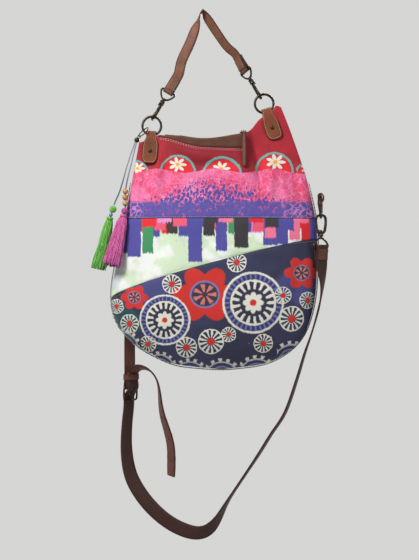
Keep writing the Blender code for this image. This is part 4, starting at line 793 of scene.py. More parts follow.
def leather_strip(name, node, finish, body, slot, levels=2, side=CUT_SIDE, foot=1.0, down=None):
    """A strip of leather on its solid's route; foot widens its lower end, and down is a tab's direction."""
    coarse = copy_of(node)
    places = corner_runs(coarse, side)
    width = {}
    for along, across in places.values():
        width[along] = max(width.get(along, 0.0), across)
    strip = coarse.loops.layers.uv.new("strip")
    half = coarse.loops.layers.uv.new("half")
    for face in coarse.faces:
        for loop in face.loops:
            along, across = places.get(loop.vert, (0.0, 0.0))
            middle = width.get(along, 0.02) / 2
            loop[strip].uv = (along, across - middle)
            loop[half].uv = (middle, 0)
    strip = rounded(coarse, levels, creased=True)
    low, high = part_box(node)
    for vertex in strip.verts:
        share = min(1.0, max(0.0, (high[2] - vertex.co.z - FOOT_START) / FOOT_RUN))
        vertex.co.x += (vertex.co.x - (low[0] + high[0]) / 2) * (foot - 1) * share * share * (3 - 2 * share)
    if down:
        outline_map(strip, down)
    return place_piece(name, strip, finish, body, slot, node)


def hide(name, dark, light, rim_dark, stitch=None, thread=(0.5, 0.42, 0.3), rough=0.47, groove=0.0017):
    """Oiled leather: fine grain, a rubbed tone, burnished cut edges with a pressed line, and stitches if sewn."""
    finish = Finish(name, roughness=rough, specular=0.28)
    along, middle, _ = finish.split(finish.node("ShaderNodeUVMap", {"uv_map": "strip"}))
    half, _, _ = finish.split(finish.node("ShaderNodeUVMap", {"uv_map": "half"}))
    rim = half - middle.size()
    grain = finish.node("ShaderNodeTexVoronoi", {"feature": "DISTANCE_TO_EDGE"},
                        {"Vector": finish.spot, "Scale": 1150})
    soft = finish.noise(55, 4.0, 0.6)
    fine = finish.noise(900, 2.0)
    worn = (soft - 0.5) * 1.5 + 0.5 + (fine - 0.5) * 0.35
    colour = finish.mix(worn, dark, light)
    edge = rim.under(0.0009, 0.0008)
    line = (rim - groove).size().under(0.00035, 0.0004)
    colour = finish.mix(edge.either(line * 0.75) * 0.85, colour, rim_dark)
    relief = grain.under(0.12, 0.2) * -0.25 + fine * 0.3 - line * 0.9
    if stitch:
        away, pitch = stitch
        dash = ((along / pitch).part() - 0.5).size().under(0.33, 0.08)
        row = (rim - away).size()
        sewn = row.under(STITCH_WIDTH, 0.0003) * dash
        sunk = row.under(0.0012, 0.0009)
        colour = finish.mix(sewn, finish.mix(sunk * 0.35, colour, rim_dark), thread)
        relief = relief + sewn * 1.6 - sunk * 0.8
    finish.set("Base Color", colour)
    finish.set("Roughness", soft * 0.22 + (rough - 0.10) + edge * 0.1)
    finish.bump(relief, 0.0005, 0.8)
    return finish


strap_hide = hide("strap_hide", shade("46221a"), shade("6e3d2e"), shade("27120d"))
handle_hide = hide("handle_hide", HIDE_DARK, HIDE_LIGHT, HIDE_RIM)
fold_hide = hide("fold_hide", HIDE_DARK, HIDE_LIGHT, HIDE_RIM, (0.0024, 0.0034), shade("a08468"), groove=0.0009)
tab_hide = hide("tab_hide", shade("54260f"), shade("86441d"), shade("301407"), (0.0024, 0.0036),
                shade("bb8e66"), 0.55, 0.0009)
puller_hide = hide("puller_hide", shade("54291a"), shade("7a4831"), shade("2d150d"), groove=0.0010)
leather_strip("handle_strip", "handle_strap", handle_hide, "handle", "dark_leather")
leather_strip("long_strip", "strap_long", strap_hide, "strap", "dark_leather")
leather_strip("short_strip", "strap_short", strap_hide, "strap", "dark_leather")
leather_strip("keeper_loop", "strap_keeper", strap_hide, "strap", "dark_leather", side=THIN_CUT_SIDE)
leather_strip("left_tab_leather", "left_tab", tab_hide, "bag", "tab_leather", 3, foot=1.28, down=LEFT_TAB_DOWN)
leather_strip("right_tab_leather", "right_tab", tab_hide, "bag", "tab_leather", 3, foot=1.08, down=RIGHT_TAB_DOWN)
leather_strip("left_side_tab_leather", "left_side_tab", tab_hide, "bag", "tab_leather")
leather_strip("right_side_tab_leather", "right_side_tab", tab_hide, "bag", "tab_leather")
leather_strip("puller_strip", "zip_puller", puller_hide, "puller", "puller_leather", side=PULLER_CUT_SIDE)


# Rings: four closed O rings of round bronze wire, gone dark and rubbed bright in places.
# Two join the handle's hooks to the tabs, and a wider pair on the side tabs takes the long strap's hooks.

RING_WIRE = 0.0043
HANDLE_RING = 0.01585
STRAP_RING = 0.01785
FACING_FRONT = (0, 1, 0)
SIDE_AXIS = Vector((0.98282, -0.18457, 0))
SAME_SPOT = 0.000005


def cast_metal(name, dark, light, rough=0.34):
    """Darkened bronze: brown, and brighter in random patches, with a cast skin."""
    finish = Finish(name, roughness=rough, metallic=1.0)
    skin = finish.noise(700, 3.0, 0.6)
    tone = finish.noise(150, 3.0, 0.55)
    finish.set("Base Color", finish.mix(((tone - 0.5) * 1.9 + skin * 0.4 + 0.3).both(1.0), dark, light))
    finish.set("Roughness", (skin - 0.5) * 0.30 + tone * 0.14 + (rough - 0.05))
    finish.bump(skin + tone * 1.4, 0.0003, 0.55)
    return finish


def turned(profile, place, steps=28):
    """A profile of radius and height, spun about its own axis."""
    mesh = bmesh.new()
    points = [mesh.verts.new((radius, 0, height)) for radius, height in profile]
    edges = [mesh.edges.new(pair) for pair in zip(points, points[1:])]
    bmesh.ops.spin(mesh, geom=points + edges, axis=(0, 0, 1), cent=(0, 0, 0), angle=math.tau, steps=steps,
                   use_merge=True, use_duplicate=False)
    bmesh.ops.remove_doubles(mesh, verts=mesh.verts, dist=SAME_SPOT)
    bmesh.ops.recalc_face_normals(mesh, faces=mesh.faces)
    bmesh.ops.transform(mesh, matrix=place, verts=mesh.verts)
    return mesh


def ring_form(centre, normal, radius, wire, steps=72):
    """A ring of round wire: one circle of the wire, spun about the ring's axis."""
    mesh = bmesh.new()
    bmesh.ops.create_circle(mesh, segments=20, radius=wire / 2)
    bmesh.ops.rotate(mesh, cent=(0, 0, 0), matrix=Matrix.Rotation(math.pi / 2, 3, "X"), verts=mesh.verts)
    bmesh.ops.translate(mesh, verts=mesh.verts, vec=(radius, 0, 0))
    bmesh.ops.spin(mesh, geom=mesh.verts[:] + mesh.edges[:], axis=(0, 0, 1), cent=(0, 0, 0), angle=math.tau,
                   steps=steps, use_merge=True)
    bmesh.ops.recalc_face_normals(mesh, faces=mesh.faces)
    turn = Vector(normal).to_track_quat("Z", "Y").to_matrix().to_4x4()
    bmesh.ops.transform(mesh, matrix=Matrix.Translation(centre) @ turn, verts=mesh.verts)
    return mesh


old_bronze = cast_metal("old_bronze", shade("1c1714"), shade("54493c"))
for name, node, body, normal, radius in (
        ("left_handle_ring", "left_ring", "left_o_ring", FACING_FRONT, HANDLE_RING),
        ("right_handle_ring", "right_ring", "right_o_ring", FACING_FRONT, HANDLE_RING),
        ("left_strap_ring", "left_side_ring", "left_side_o_ring", SIDE_AXIS, STRAP_RING),
        ("right_strap_ring", "right_side_ring", "right_side_o_ring", SIDE_AXIS, STRAP_RING)):
    low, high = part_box(node)
    centre = (Vector(low) + Vector(high)) / 2
    place_piece(name, ring_form(centre, normal, radius, RING_WIRE), old_bronze, body, "antique_metal", node)


# Snap hooks: four cast swivel hooks. Each has a collar with a turned rim, a J that thins to its tip, a sprung gate
# on a cross pin, and an eye for the strap on a headed pin that turns in the collar.

HANDLE_WIDTH = 0.0175
STRAP_WIDTH = 0.024
HOOKS = (
    # name, place, its two axes, the bodies of the eye, hook and gate, the strap's width and the eye's turn
    ("left_handle", (-0.07004, 0, -0.15883), (0, -1, 0), (0.86013, 0, -0.51008),
     "handle", "left_hook", "left_gate", HANDLE_WIDTH, 90),
    ("right_handle", (0.0862, 0, -0.12262), (0, -1, 0), (0.86916, 0, 0.49452),
     "handle", "right_hook", "right_gate", HANDLE_WIDTH, 40),
    ("left_strap", (-0.12, 0.04, -0.3753), (0.98282, -0.18457, 0), (-0.18457, -0.98282, 0),
     "strap", "strap_left_hook", "strap_left_gate", STRAP_WIDTH, 120.4),
    ("right_strap", (0.1995, -0.02, -0.3753), (-0.98282, 0.18457, 0), (0.18457, 0.98282, 0),
     "strap", "strap_right_hook", "strap_right_gate", STRAP_WIDTH, -44.6),
)
LOOP = 0.0079
LOOP_DROP = 0.0205
HOOK_LINE = [(-0.0034, 0, 0.0030), (-0.0060, 0, -0.0006), (-0.0071, 0, -0.0060), (-LOOP, 0, -0.0120)]
HOOK_LINE += [(-LOOP * math.cos(turn), 0, -LOOP_DROP - LOOP * math.sin(turn))
              for turn in [math.pi * k / 8 for k in range(9)]]
HOOK_LINE += [(LOOP, 0, -LOOP_DROP + 0.0030)]
HOOK_RADII = [0.0018, 0.0024, 0.0024] + [0.0023] * 9 + [0.0021, 0.0017]
COLLAR = (
    (0.0026, 0.0004), (0.0040, 0.0000), (0.0045, 0.0006), (0.0046, 0.0014), (0.0041, 0.0020), (0.0040, 0.0052),
    (0.0044, 0.0058), (0.0046, 0.0066), (0.0044, 0.0074), (0.0037, 0.0080), (0.0026, 0.0080),
)
CHEEK = (0.0042, 0.0011, 0.0064)
GATE_LINE = (
    (0.0060, 0, -0.0022), (0.0066, 0, -0.0070), (0.0073, 0, -0.0115), (LOOP - 0.0002, 0, -LOOP_DROP + 0.0046),
)
GATE_RADII = (0.0012, 0.0014, 0.0014, 0.0011)
GATE_KNOB = ((0.0001, 0.0020), (0.0009, 0.0018), (0.0012, 0.0010), (0.0010, 0.0002), (0.0006, 0.0))
GATE_PIN = (
    (0.0001, -0.0036), (0.0009, -0.0035), (0.0010, -0.0031), (0.0006, -0.0030), (0.0006, 0.0030),
    (0.0010, 0.0031), (0.0009, 0.0035), (0.0001, 0.0036),
)
EYE_RADII = [0.0017, 0.0018, 0.0017, 0.0017, 0.0020]
EYE_STEM = (
    (0.0001, -0.0028), (0.0022, -0.0026), (0.0030, -0.0016), (0.0030, -0.0006), (0.0019, -0.0004), (0.0019, 0.0086),
    (0.0031, 0.0088), (0.0031, 0.0100), (0.0024, 0.0114), (0.0010, 0.0120), (0.0001, 0.0121),
)
WIRE_SIDES = 4
BLOCK_EASE = 0.0004
FOLD_LOW, FOLD_HIGH = 0.0292, 0.0475
FOLD_ROWS, FOLD_LANES = 9, 6
FOLD_HALF = 0.47
FOLD_THICKNESS = 0.0014


def bent_wire(points, radii, place=None, closed=False):
    """A wire through the given points; its radius is given at each, and its tips are rounded over."""
    rows = [Vector(point) for point in points]
    radii = list(radii)
    if not closed:
        for end, step in ((0, 1), (-1, -2)):
            away = (rows[end] - rows[step]).normalized()
            tips = [(rows[end] + away * radii[end] * 0.55, radii[end] * 0.80),
                    (rows[end] + away * radii[end] * 0.90, radii[end] * 0.35)]
            if end == 0:
                rows = [tips[1][0], tips[0][0]] + rows
                radii = [tips[1][1], tips[0][1]] + radii
            else:
                rows += [tips[0][0], tips[1][0]]
                radii += [tips[0][1], tips[1][1]]
    curve = bpy.data.curves.new("wire", "CURVE")
    curve.dimensions = "3D"
    curve.bevel_depth = 1.0
    curve.bevel_resolution = WIRE_SIDES
    curve.resolution_u = 6
    curve.use_fill_caps = True
    spline = curve.splines.new("BEZIER")
    spline.bezier_points.add(len(rows) - 1)
    spline.use_cyclic_u = closed
    for point, row, radius in zip(spline.bezier_points, rows, radii):
        point.co = row
        point.handle_left_type = point.handle_right_type = "AUTO"
        point.radius = radius
    holder = bpy.data.objects.new("wire", curve)
    scene.collection.objects.link(holder)
    bpy.context.view_layer.update()
    mesh = bmesh.new()
    mesh.from_mesh(holder.to_mesh())
    bpy.data.objects.remove(holder)
    bmesh.ops.remove_doubles(mesh, verts=mesh.verts, dist=SAME_SPOT)
    bmesh.ops.recalc_face_normals(mesh, faces=mesh.faces)
    if place:
        bmesh.ops.transform(mesh, matrix=place, verts=mesh.verts)
    return mesh


def joined(*meshes):
    """One mesh of several."""
    whole = bmesh.new()
    for part in meshes:
        data = bpy.data.meshes.new("part")
        part.to_mesh(data)
        part.free()
        whole.from_mesh(data)
        bpy.data.meshes.remove(data)
    return whole


def block(size, centre, place):
    """A small block with its edges rounded over."""
    mesh = bmesh.new()
    bmesh.ops.create_cube(mesh, size=1.0)
    bmesh.ops.scale(mesh, vec=size, verts=mesh.verts)
    bmesh.ops.bevel(mesh, geom=mesh.edges[:], offset=BLOCK_EASE, offset_type="OFFSET", affect="EDGES", segments=3,
                    profile=0.5, material=-1)
    bmesh.ops.translate(mesh, verts=mesh.verts, vec=centre)
    bmesh.ops.transform(mesh, matrix=place, verts=mesh.verts)
    return mesh


strip_trees = [BVHTree.FromObject(bpy.data.objects[name], bpy.context.evaluated_depsgraph_get())
               for name in ("handle_strip", "long_strip", "short_strip")]


def folded_end(name, place, width, finish, body):
    """The strap's end, turned through the eye and sewn down on the side that is seen."""
    across, facing, up = [place.to_3x3() @ Vector(axis) for axis in ((1, 0, 0), (0, 1, 0), (0, 0, 1))]
    facing *= -1 if facing.y > 0 else 1
    half_width = width * FOLD_HALF
    leaf = bmesh.new()
    strip = leaf.loops.layers.uv.new("strip")
    half = leaf.loops.layers.uv.new("half")
    grid = {}
    for row in range(FOLD_ROWS + 1):
        for lane in range(FOLD_LANES + 1):
            u = half_width * (2 * lane / FOLD_LANES - 1)
            s = FOLD_LOW + (FOLD_HIGH - FOLD_LOW) * row / FOLD_ROWS
            spot = place.translation + across * u + up * s
            hits = [tree.ray_cast(spot - facing * -0.03, -facing) for tree in strip_trees]
            hits = [hit for hit in hits if hit[0] is not None and hit[3] < 0.05]
            if hits:
                nearest = min(hits, key=lambda hit: hit[3])[0]
                grid[row, lane] = leaf.verts.new(nearest + facing * 0.00015), s, u
    for row in range(FOLD_ROWS):
        for lane in range(FOLD_LANES):
            keys = ((row, lane), (row, lane + 1), (row + 1, lane + 1), (row + 1, lane))
            if all(key in grid for key in keys):
                face = leaf.faces.new([grid[key][0] for key in keys])
                for loop, key in zip(face.loops, keys):
                    loop[strip].uv = grid[key][1:]
                    loop[half].uv = (half_width, 0)
    for vertex in [vertex for vertex in leaf.verts if not vertex.link_faces]:
        leaf.verts.remove(vertex)
    leaf.normal_update()
    if sum(face.normal.dot(facing) for face in leaf.faces) < 0:
        bmesh.ops.reverse_faces(leaf, faces=leaf.faces)
    bmesh.ops.solidify(leaf, geom=leaf.faces[:], thickness=-FOLD_THICKNESS)
    bmesh.ops.recalc_face_normals(leaf, faces=leaf.faces)
    place_piece(name, rounded(leaf, 1, creased=True), finish, body, "dark_leather")


for name, spot, x_axis, y_axis, eye_body, hook_body, gate_body, strap_width, eye_turn in HOOKS:
    x_axis, y_axis = Vector(x_axis), Vector(y_axis)
    place = Matrix((x_axis, y_axis, x_axis.cross(y_axis))).transposed().to_4x4()
    place.translation = Vector(spot)
    cheeks = [block(CHEEK, (0.0052, sign * 0.0027, -0.0006), place) for sign in (-1, 1)]
    hook = joined(bent_wire(HOOK_LINE, HOOK_RADII, place), turned(COLLAR, place), *cheeks)
    place_piece(name + "_cast_hook", hook, old_bronze, hook_body, "antique_metal", name + "_hook")

    knob_place = place @ Matrix.Translation((0.0074, 0, -0.0085)) @ Matrix.Rotation(math.pi / 2, 4, "Y")
    pin_place = place @ Matrix.Translation((0.0060, 0, -0.0026)) @ Matrix.Rotation(math.pi / 2, 4, "X")
    gate = joined(bent_wire(GATE_LINE, GATE_RADII, place), turned(GATE_KNOB, knob_place, 16),
                  turned(GATE_PIN, pin_place, 16))
    place_piece(name + "_cast_gate", gate, old_bronze, gate_body, "antique_metal", name + "_gate")

    place = place @ Matrix.Rotation(math.radians(eye_turn), 4, "Z")
    reach = strap_width / 2 + 0.0034
    outline = [(reach - 0.002, 0.0265), (reach, 0.0245), (reach - 0.001, 0.0205), (0.0045, 0.0120),
               (0.0015, 0.0110)]
    outline += [(-x, z) for x, z in reversed(outline)]
    eye_wire = bent_wire([(x, 0, z) for x, z in outline], EYE_RADII + EYE_RADII[::-1], place, closed=True)
    eye = joined(eye_wire, turned(EYE_STEM, place))
    place_piece(name + "_cast_eye", eye, old_bronze, eye_body, "antique_metal", name + "_eye")
    folded_end(name + "_fold", place, strap_width, fold_hide if eye_body == "handle" else strap_hide, eye_body)


# Buckle: a bow of bent bronze wire on the short strap's fold, with a wire prong that turns on its upper bar.
# The prong's loop goes round that bar, and its tip lies over the lower one, on the side that is seen.

BUCKLE_ACROSS = Vector((-0.65606, -0.75471, 0))
BUCKLE_FACE = Vector((0.75471, -0.65606, 0))
BUCKLE_HEEL = Vector((-0.124, 0.026, -0.640))
BOW_RADIUS = 0.0017
BOW_CORNER = 0.003
BOW_HALF = STRAP_WIDTH / 2 + 0.0005 + BOW_RADIUS + 0.0006
BOW_DROP = -0.024
PRONG_RADIUS = 0.0012
PRONG_LOOP = BOW_RADIUS + 0.0005 + PRONG_RADIUS
PRONG_REST = BOW_RADIUS + 0.0004 + PRONG_RADIUS
inner = BOW_HALF - BOW_CORNER
cut = BOW_CORNER * 0.3
bow_line = (
    (-inner, 0), (inner, 0), (BOW_HALF - cut, -cut), (BOW_HALF, -BOW_CORNER),
    (BOW_HALF, BOW_DROP + BOW_CORNER), (BOW_HALF - cut, BOW_DROP + cut), (inner, BOW_DROP),
    (-inner, BOW_DROP), (cut - BOW_HALF, BOW_DROP + cut), (-BOW_HALF, BOW_DROP + BOW_CORNER),
    (-BOW_HALF, -BOW_CORNER), (cut - BOW_HALF, -cut),
)
bow = bent_wire([BUCKLE_HEEL + BUCKLE_ACROSS * a + Vector((0, 0, b)) for a, b in bow_line],
                [BOW_RADIUS] * len(bow_line), closed=True)
place_piece("buckle_bow", bow, old_bronze, "buckle", "antique_metal", "buckle_frame")
prong_line = [BUCKLE_HEEL + BUCKLE_FACE * PRONG_LOOP * math.cos(a) + Vector((0, 0, PRONG_LOOP * math.sin(a)))
              for a in [math.radians(angle) for angle in range(300, -1, -30)]]
prong_line += [BUCKLE_HEEL + BUCKLE_FACE * out + Vector((0, 0, down)) for out, down in (
    (PRONG_REST + 0.0004, BOW_DROP * 0.5), (PRONG_REST, BOW_DROP), (PRONG_REST - 0.0002, BOW_DROP - 0.0036))]
prong_radii = [0.0010] * 11 + [PRONG_RADIUS, PRONG_RADIUS, 0.0008]
place_piece("buckle_tongue", bent_wire(prong_line, prong_radii), old_bronze, "prong", "antique_metal",
            "buckle_prong")


# Rivets: one small domed rivet holds each tab's leaves together, through the bag's cloth.
# Its head is turned bronze with a low rim, and it stands on the tab at the place of its solid.

for side in ("left", "right"):
    low, high = [Vector(corner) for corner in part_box(side + "_tab_rivet")]
    centre = (low + high) / 2
    foot = Matrix.Translation((centre.x, high.y, centre.z)) @ Matrix.Rotation(math.pi / 2, 4, "X")
    tall = high.y - low.y
    head = turned([(0.0030, 0.0), (0.0031, tall * 0.30), (0.0028, tall * 0.45), (0.0023, tall * 0.42),
                   (0.0020, tall * 0.75), (0.0012, tall * 0.97), (0.0001, tall)], foot, 24)
    place_piece(side + "_rivet_head", head, old_bronze, "bag", "antique_metal", side + "_tab_rivet")


# Zip: two brown woven tapes with cast teeth inside the mouth, a slider at the right end, and a leather pull on a
# wire link. The front tape is turned over the cloth's top edge and sewn down with two rows of pale thread.

TAPE_RIB = 2900
TAPE_CUT = ((157, 137.6), (177, 133.4))
BAND_COLUMNS = [158 + 1.25 * k for k in range(70)]
BAND_STEPS = 5
BAND_THICKNESS = 0.0007
BAND_LIFT = 0.0003
THREAD_TWIST = 9000
MOUTH_ROWS = (1.2, 2.6)
MOUTH_STITCH = (0.0042, 0.60, 0.0008, 0.00025)
BAND_STITCH = (0.0040, 0.66, 0.0009, 0.0002)
SLANT_STITCH = (0.0030, 0.62, 0.0004, 0.0002)
SEAM_ABOVE = 1.3
TEETH = 52
TOOTH_WIDE, TOOTH_TALL = 0.0013, 0.0030
TEETH_LEAN = 0.02482

tape_weave = Finish("tape_weave", roughness=0.82, specular=0.25, sheen_weight=0.15)
tape_x, _, tape_z = tape_weave.axes()
tape_rib = (((tape_x + tape_z * 0.6) * TAPE_RIB).wave() + ((tape_x - tape_z * 0.6) * TAPE_RIB).wave()) * 0.5
tape_soft = tape_weave.noise(70, 4.0, 0.6)
tape_weave.set("Base Color", tape_weave.mix(tape_rib * 0.16 + tape_soft * 0.9, shade("3d2218"), shade("6d4433")))
tape_weave.bump(tape_rib + tape_soft, 0.0003, 0.7)


def slack_mouth(mesh):
    """Cuts the left ends on a slant and lets the length hang with the cloth."""
    low, high = [from_picture(*spot) for spot in TAPE_CUT]
    plane = Vector((low[1] - high[1], 0, high[0] - low[0])).normalized()
    cut = bmesh.ops.bisect_plane(mesh, geom=mesh.verts[:] + mesh.edges[:] + mesh.faces[:], dist=0.00001,
                                 plane_co=(low[0], 0, low[1]), plane_no=plane, clear_outer=True)
    bmesh.ops.holes_fill(mesh, edges=[piece for piece in cut["geom_cut"] if isinstance(piece, bmesh.types.BMEdge)])
    long_edges = [edge for edge in mesh.edges if edge.calc_length() > 0.02]
    bmesh.ops.subdivide_edges(mesh, edges=long_edges, cuts=11)
    for vertex in mesh.verts:
        vertex.co.z -= mouth_sag(vertex.co.x, vertex.co.z)
    return mesh


for tape in ("zip_tape_front", "zip_tape_back"):
    tape_mesh = slack_mouth(rounded(copy_of(tape), 1, creased=True))
    place_piece(tape.replace("zip_tape", "woven_tape"), tape_mesh, tape_weave, "bag", "zip_tape", tape)

cloth_trees = [BVHTree.FromObject(bpy.data.objects[name], bpy.context.evaluated_depsgraph_get())
               for name in ("upper_cloth", "brushed_cloth", "wheel_cloth")]


def on_cloth(x, z, lift):
    """The place on the front cloth behind a point, a little proud of it, and the way that the cloth faces there."""
    found = [tree.ray_cast(Vector((x, -0.3, z)), Vector((0, 1, 0))) for tree in cloth_trees]
    found = [hit for hit in found if hit[0] is not None]
    if not found:
        return None
    place, facing = min(found, key=lambda hit: hit[3])[:2]
    return place + facing * lift, facing


def band_foot(column):
    """The row at which the turned-over tape ends."""
    t = min(1.0, max(0.0, (column - 157) / 46))
    return 137.2 + 10.6 * t * t * (3 - 2 * t) + 0.035 * max(0, column - 203)


band = bmesh.new()
band_lines = []
for column in BAND_COLUMNS:
    crest = 132.0
    while on_cloth(*from_picture(column, crest), 0) is None:
        crest += 0.2
    foot = max(band_foot(column), crest + 1.0)
    places = [from_picture(column, crest + 0.2 + (foot - crest - 0.2) * k / BAND_STEPS)
              for k in range(BAND_STEPS + 1)]
    band_lines.append([band.verts.new(on_cloth(x, z, BAND_LIFT)[0]) for x, z in places])
for left_line, right_line in zip(band_lines, band_lines[1:]):
    for k in range(BAND_STEPS):
        band.faces.new((left_line[k], left_line[k + 1], right_line[k + 1], right_line[k]))
bmesh.ops.recalc_face_normals(band, faces=band.faces)
if sum(face.normal.y for face in band.faces) > 0:
    bmesh.ops.reverse_faces(band, faces=band.faces)
bmesh.ops.solidify(band, geom=band.faces[:], thickness=-BAND_THICKNESS)
bmesh.ops.reverse_faces(band, faces=band.faces)
place_piece("turned_over_tape", band, tape_weave, "bag", "zip_tape")


def stitch(mesh, start, end, thick):
    """One stitch: a short drawn-out bead of thread."""
    run = end - start
    turn = run.to_track_quat("Z", "Y").to_matrix().to_4x4()
    shape = Matrix.Diagonal((thick / 2, thick / 2, run.length / 2, 1))
    bmesh.ops.create_uvsphere(mesh, u_segments=6, v_segments=5, radius=1.0,
                              matrix=Matrix.Translation((start + end) / 2) @ turn @ shape)


def stitch_row(mesh, line, pitch, share, thick, lift):
    """Stitches along a line of picture places, each end lying on the cloth."""
    places = [Vector((*from_picture(*point), 0)) for point in line]
    for a, b in zip(places, places[1:]):
        count = max(1, round((b - a).length / pitch))
        for k in range(count):
            ends = []
            for t in ((k + 0.5 - share / 2) / count, (k + 0.5 + share / 2) / count):
                spot = a.lerp(b, t)
                ends.append(on_cloth(spot.x, spot.y, lift))
            if all(ends):
                stitch(mesh, ends[0][0], ends[1][0], thick)


pale_thread = Finish("pale_thread", roughness=0.7, specular=0.3)
thread_x, _, thread_z = pale_thread.axes()
thread_lay = ((thread_x + thread_z) * THREAD_TWIST).wave()
thread_tone = thread_lay * 0.25 + pale_thread.noise(400, 2.0)
pale_thread.set("Base Color", pale_thread.mix(thread_tone, shade("cdbfae"), shade("fdf4e6")))
pale_thread.bump(thread_lay, 0.0002)
mouth_stitches = bmesh.new()
for drop in MOUTH_ROWS:
    stitch_row(mouth_stitches, [(column, band_foot(column) + drop) for column in range(160, 246, 5)], *MOUTH_STITCH)
place_piece("mouth_stitches", mouth_stitches, pale_thread, "bag", "zip_tape")
seam_stitches = bmesh.new()
stitch_row(seam_stitches, [(column, BAND_SEAM_ROW - SEAM_ABOVE) for column in range(127, 312, 4)], *BAND_STITCH)
stitch_row(seam_stitches, [(column, row - SEAM_ABOVE) for column, row in SLANT_SEAM], *SLANT_STITCH)
place_piece("seam_stitches", seam_stitches, pale_thread, "bag", "printed_cloth")

dark_teeth = cast_metal("dark_teeth", shade("1c1a18"), shade("4f463c"), 0.4)
for row, sign in (("front", -1), ("back", 1)):
    low, high = [Vector(corner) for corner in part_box("zip_teeth_" + row)]
    centre = (low + high) / 2
    teeth = bmesh.new()
    for k in range(TEETH):
        x = low.x + (high.x - low.x) * (k + 0.5 + 0.25 * sign) / (TEETH + 0.5)
        z = centre.z - (x - centre.x) * TEETH_LEAN
        made = bmesh.ops.create_cube(teeth, size=1.0)["verts"]
        bmesh.ops.scale(teeth, vec=(TOOTH_WIDE, high.y - low.y, TOOTH_TALL), verts=made)
        bmesh.ops.translate(teeth, vec=(x, centre.y, z), verts=made)
    bmesh.ops.bevel(teeth, geom=teeth.edges[:], offset=0.00035, offset_type="OFFSET", affect="EDGES", segments=1,
                    profile=0.5, material=-1)
    place_piece("teeth_" + row, slack_mouth(teeth), dark_teeth, "bag", "zip_teeth", "zip_teeth_" + row)


slider = copy_of("zip_slider")
sharp = [edge for edge in slider.edges if len(edge.link_faces) == 2 and edge.calc_face_angle() > 0.6]
bmesh.ops.bevel(slider, geom=sharp, offset=0.0003, offset_type="OFFSET", affect="EDGES", segments=2, profile=0.5,
                material=-1, clamp_overlap=True)
place_piece("slider_body", slider, old_bronze, "slider", "antique_metal", "zip_slider")
pull_wire = rounded(copy_of("zip_pull_link"), 1)
place_piece("pull_wire", pull_wire, old_bronze, "puller", "antique_metal", "zip_pull_link")


# Piping: a thick cord of pale and dark yarn, laid in the seam that joins the front to the back.
# It runs down both sides and along the bottom, and is sewn in with them.

piping_yarn = Finish("piping_yarn", roughness=0.85, specular=0.2, sheen_weight=0.2)
pipe_x, pipe_y, pipe_z = piping_yarn.axes()
pipe_lay = ((pipe_x + pipe_z + pipe_y * 1.6) * 1500).wave()
pipe_fleck = piping_yarn.noise(380, 3.0, 0.7)
pipe_pale = (pipe_lay * 0.22 + pipe_fleck).over(0.50, 0.22)
piping_yarn.set("Base Color", piping_yarn.mix(pipe_pale, shade("2a2830"), shade("ddd8cc")))
piping_yarn.bump(pipe_lay + pipe_fleck, 0.0005)
place_piece("piping_cord", rounded(copy_of("seam_piping"), 1), piping_yarn, "bag", "piping_cloth", "seam_piping")


# Charm: a wire ring through the left handle ring, a metal ball on an eye, and below it two cords with three turned
# wooden beads, a glass bead, and two cotton tassels with bound heads.

HANG = Vector((-0.50, -0.20, -0.84)).normalized()
CHARM_RING_SPOT = Vector((-0.09939, -0.00052, -0.20511))
CHARM_RING_FACE = Vector((0.62, 0.42, -0.66)).normalized()
CHARM_RING = (0.0106, 0.0018)
BALL_SPOT = Vector((-0.11032, -0.00347, -0.21909))
BALL_EYE = (0.0025, 0.0012)
BALL = (
    (0.0001, -0.0047), (0.0016, -0.0044), (0.0034, -0.0032), (0.0044, -0.0012), (0.0046, -0.0004), (0.0043, 0.0),
    (0.0046, 0.0004), (0.0044, 0.0012), (0.0034, 0.0032), (0.0018, 0.0043), (0.0015, 0.0048), (0.0009, 0.0050),
    (0.0001, 0.0050),
)
BEAD = (
    (0.0015, -0.0037), (0.0026, -0.0042), (0.0040, -0.0030), (0.0047, -0.0008), (0.0047, 0.0008),
    (0.0040, 0.0030), (0.0026, 0.0042), (0.0015, 0.0037), (0.0014, 0.0), (0.0015, -0.0037),
)
ROSE_HEAD = Vector((-0.1300, -0.0180, -0.3408))
LIME_HEAD = Vector((-0.1496, -0.0165, -0.3375))
ROSE_TOP = ROSE_HEAD + Vector((-0.0015, -0.001, -0.0065))
LIME_TOP = LIME_HEAD + Vector((-0.0045, -0.001, -0.0128))
ROSE_END = Vector((-0.1500, -0.0365, -0.4325))
LIME_END = Vector((-0.1745, -0.0130, -0.4380))
WINDINGS = 9
THREAD_RADIUS = 0.00062
THREAD_BENDS = 8
REACH = 0.06

place_piece("charm_wire_ring", ring_form(CHARM_RING_SPOT, CHARM_RING_FACE, *CHARM_RING), old_bronze, "charm",
            "antique_metal", "charm_ring")
ring_foot = BALL_SPOT - HANG * 0.0075
ring_run = CHARM_RING_FACE.cross(ring_foot - CHARM_RING_SPOT).normalized()
eye_face = (ring_run - HANG * ring_run.dot(HANG)).normalized()


def along_axis(place, axis):
    """The frame of a turned piece: its middle and the way that its axis points."""
    return Matrix.Translation(place) @ Vector(axis).to_track_quat("Z", "Y").to_matrix().to_4x4()


ball = joined(turned(BALL, along_axis(BALL_SPOT, -HANG)),
              ring_form(BALL_SPOT - HANG * 0.0070, eye_face, *BALL_EYE, steps=24))
place_piece("charm_bell", ball, old_bronze, "charm", "antique_metal", "charm_ball")


def wood(name, dark, light):
    """Varnished wood: fine end grain lines and a slow change of tone."""
    finish = Finish(name, roughness=0.32, specular=0.5, coat_weight=0.35, coat_roughness=0.15)
    grain = finish.noise(1.0, 4.0, 0.6, finish.stretched(260, 260, 1500))
    tone = finish.noise(230, 2.0)
    finish.set("Base Color", finish.mix(grain * 0.8 + tone * 0.5 - 0.15, dark, light))
    finish.bump(grain, 0.0001)
    return finish


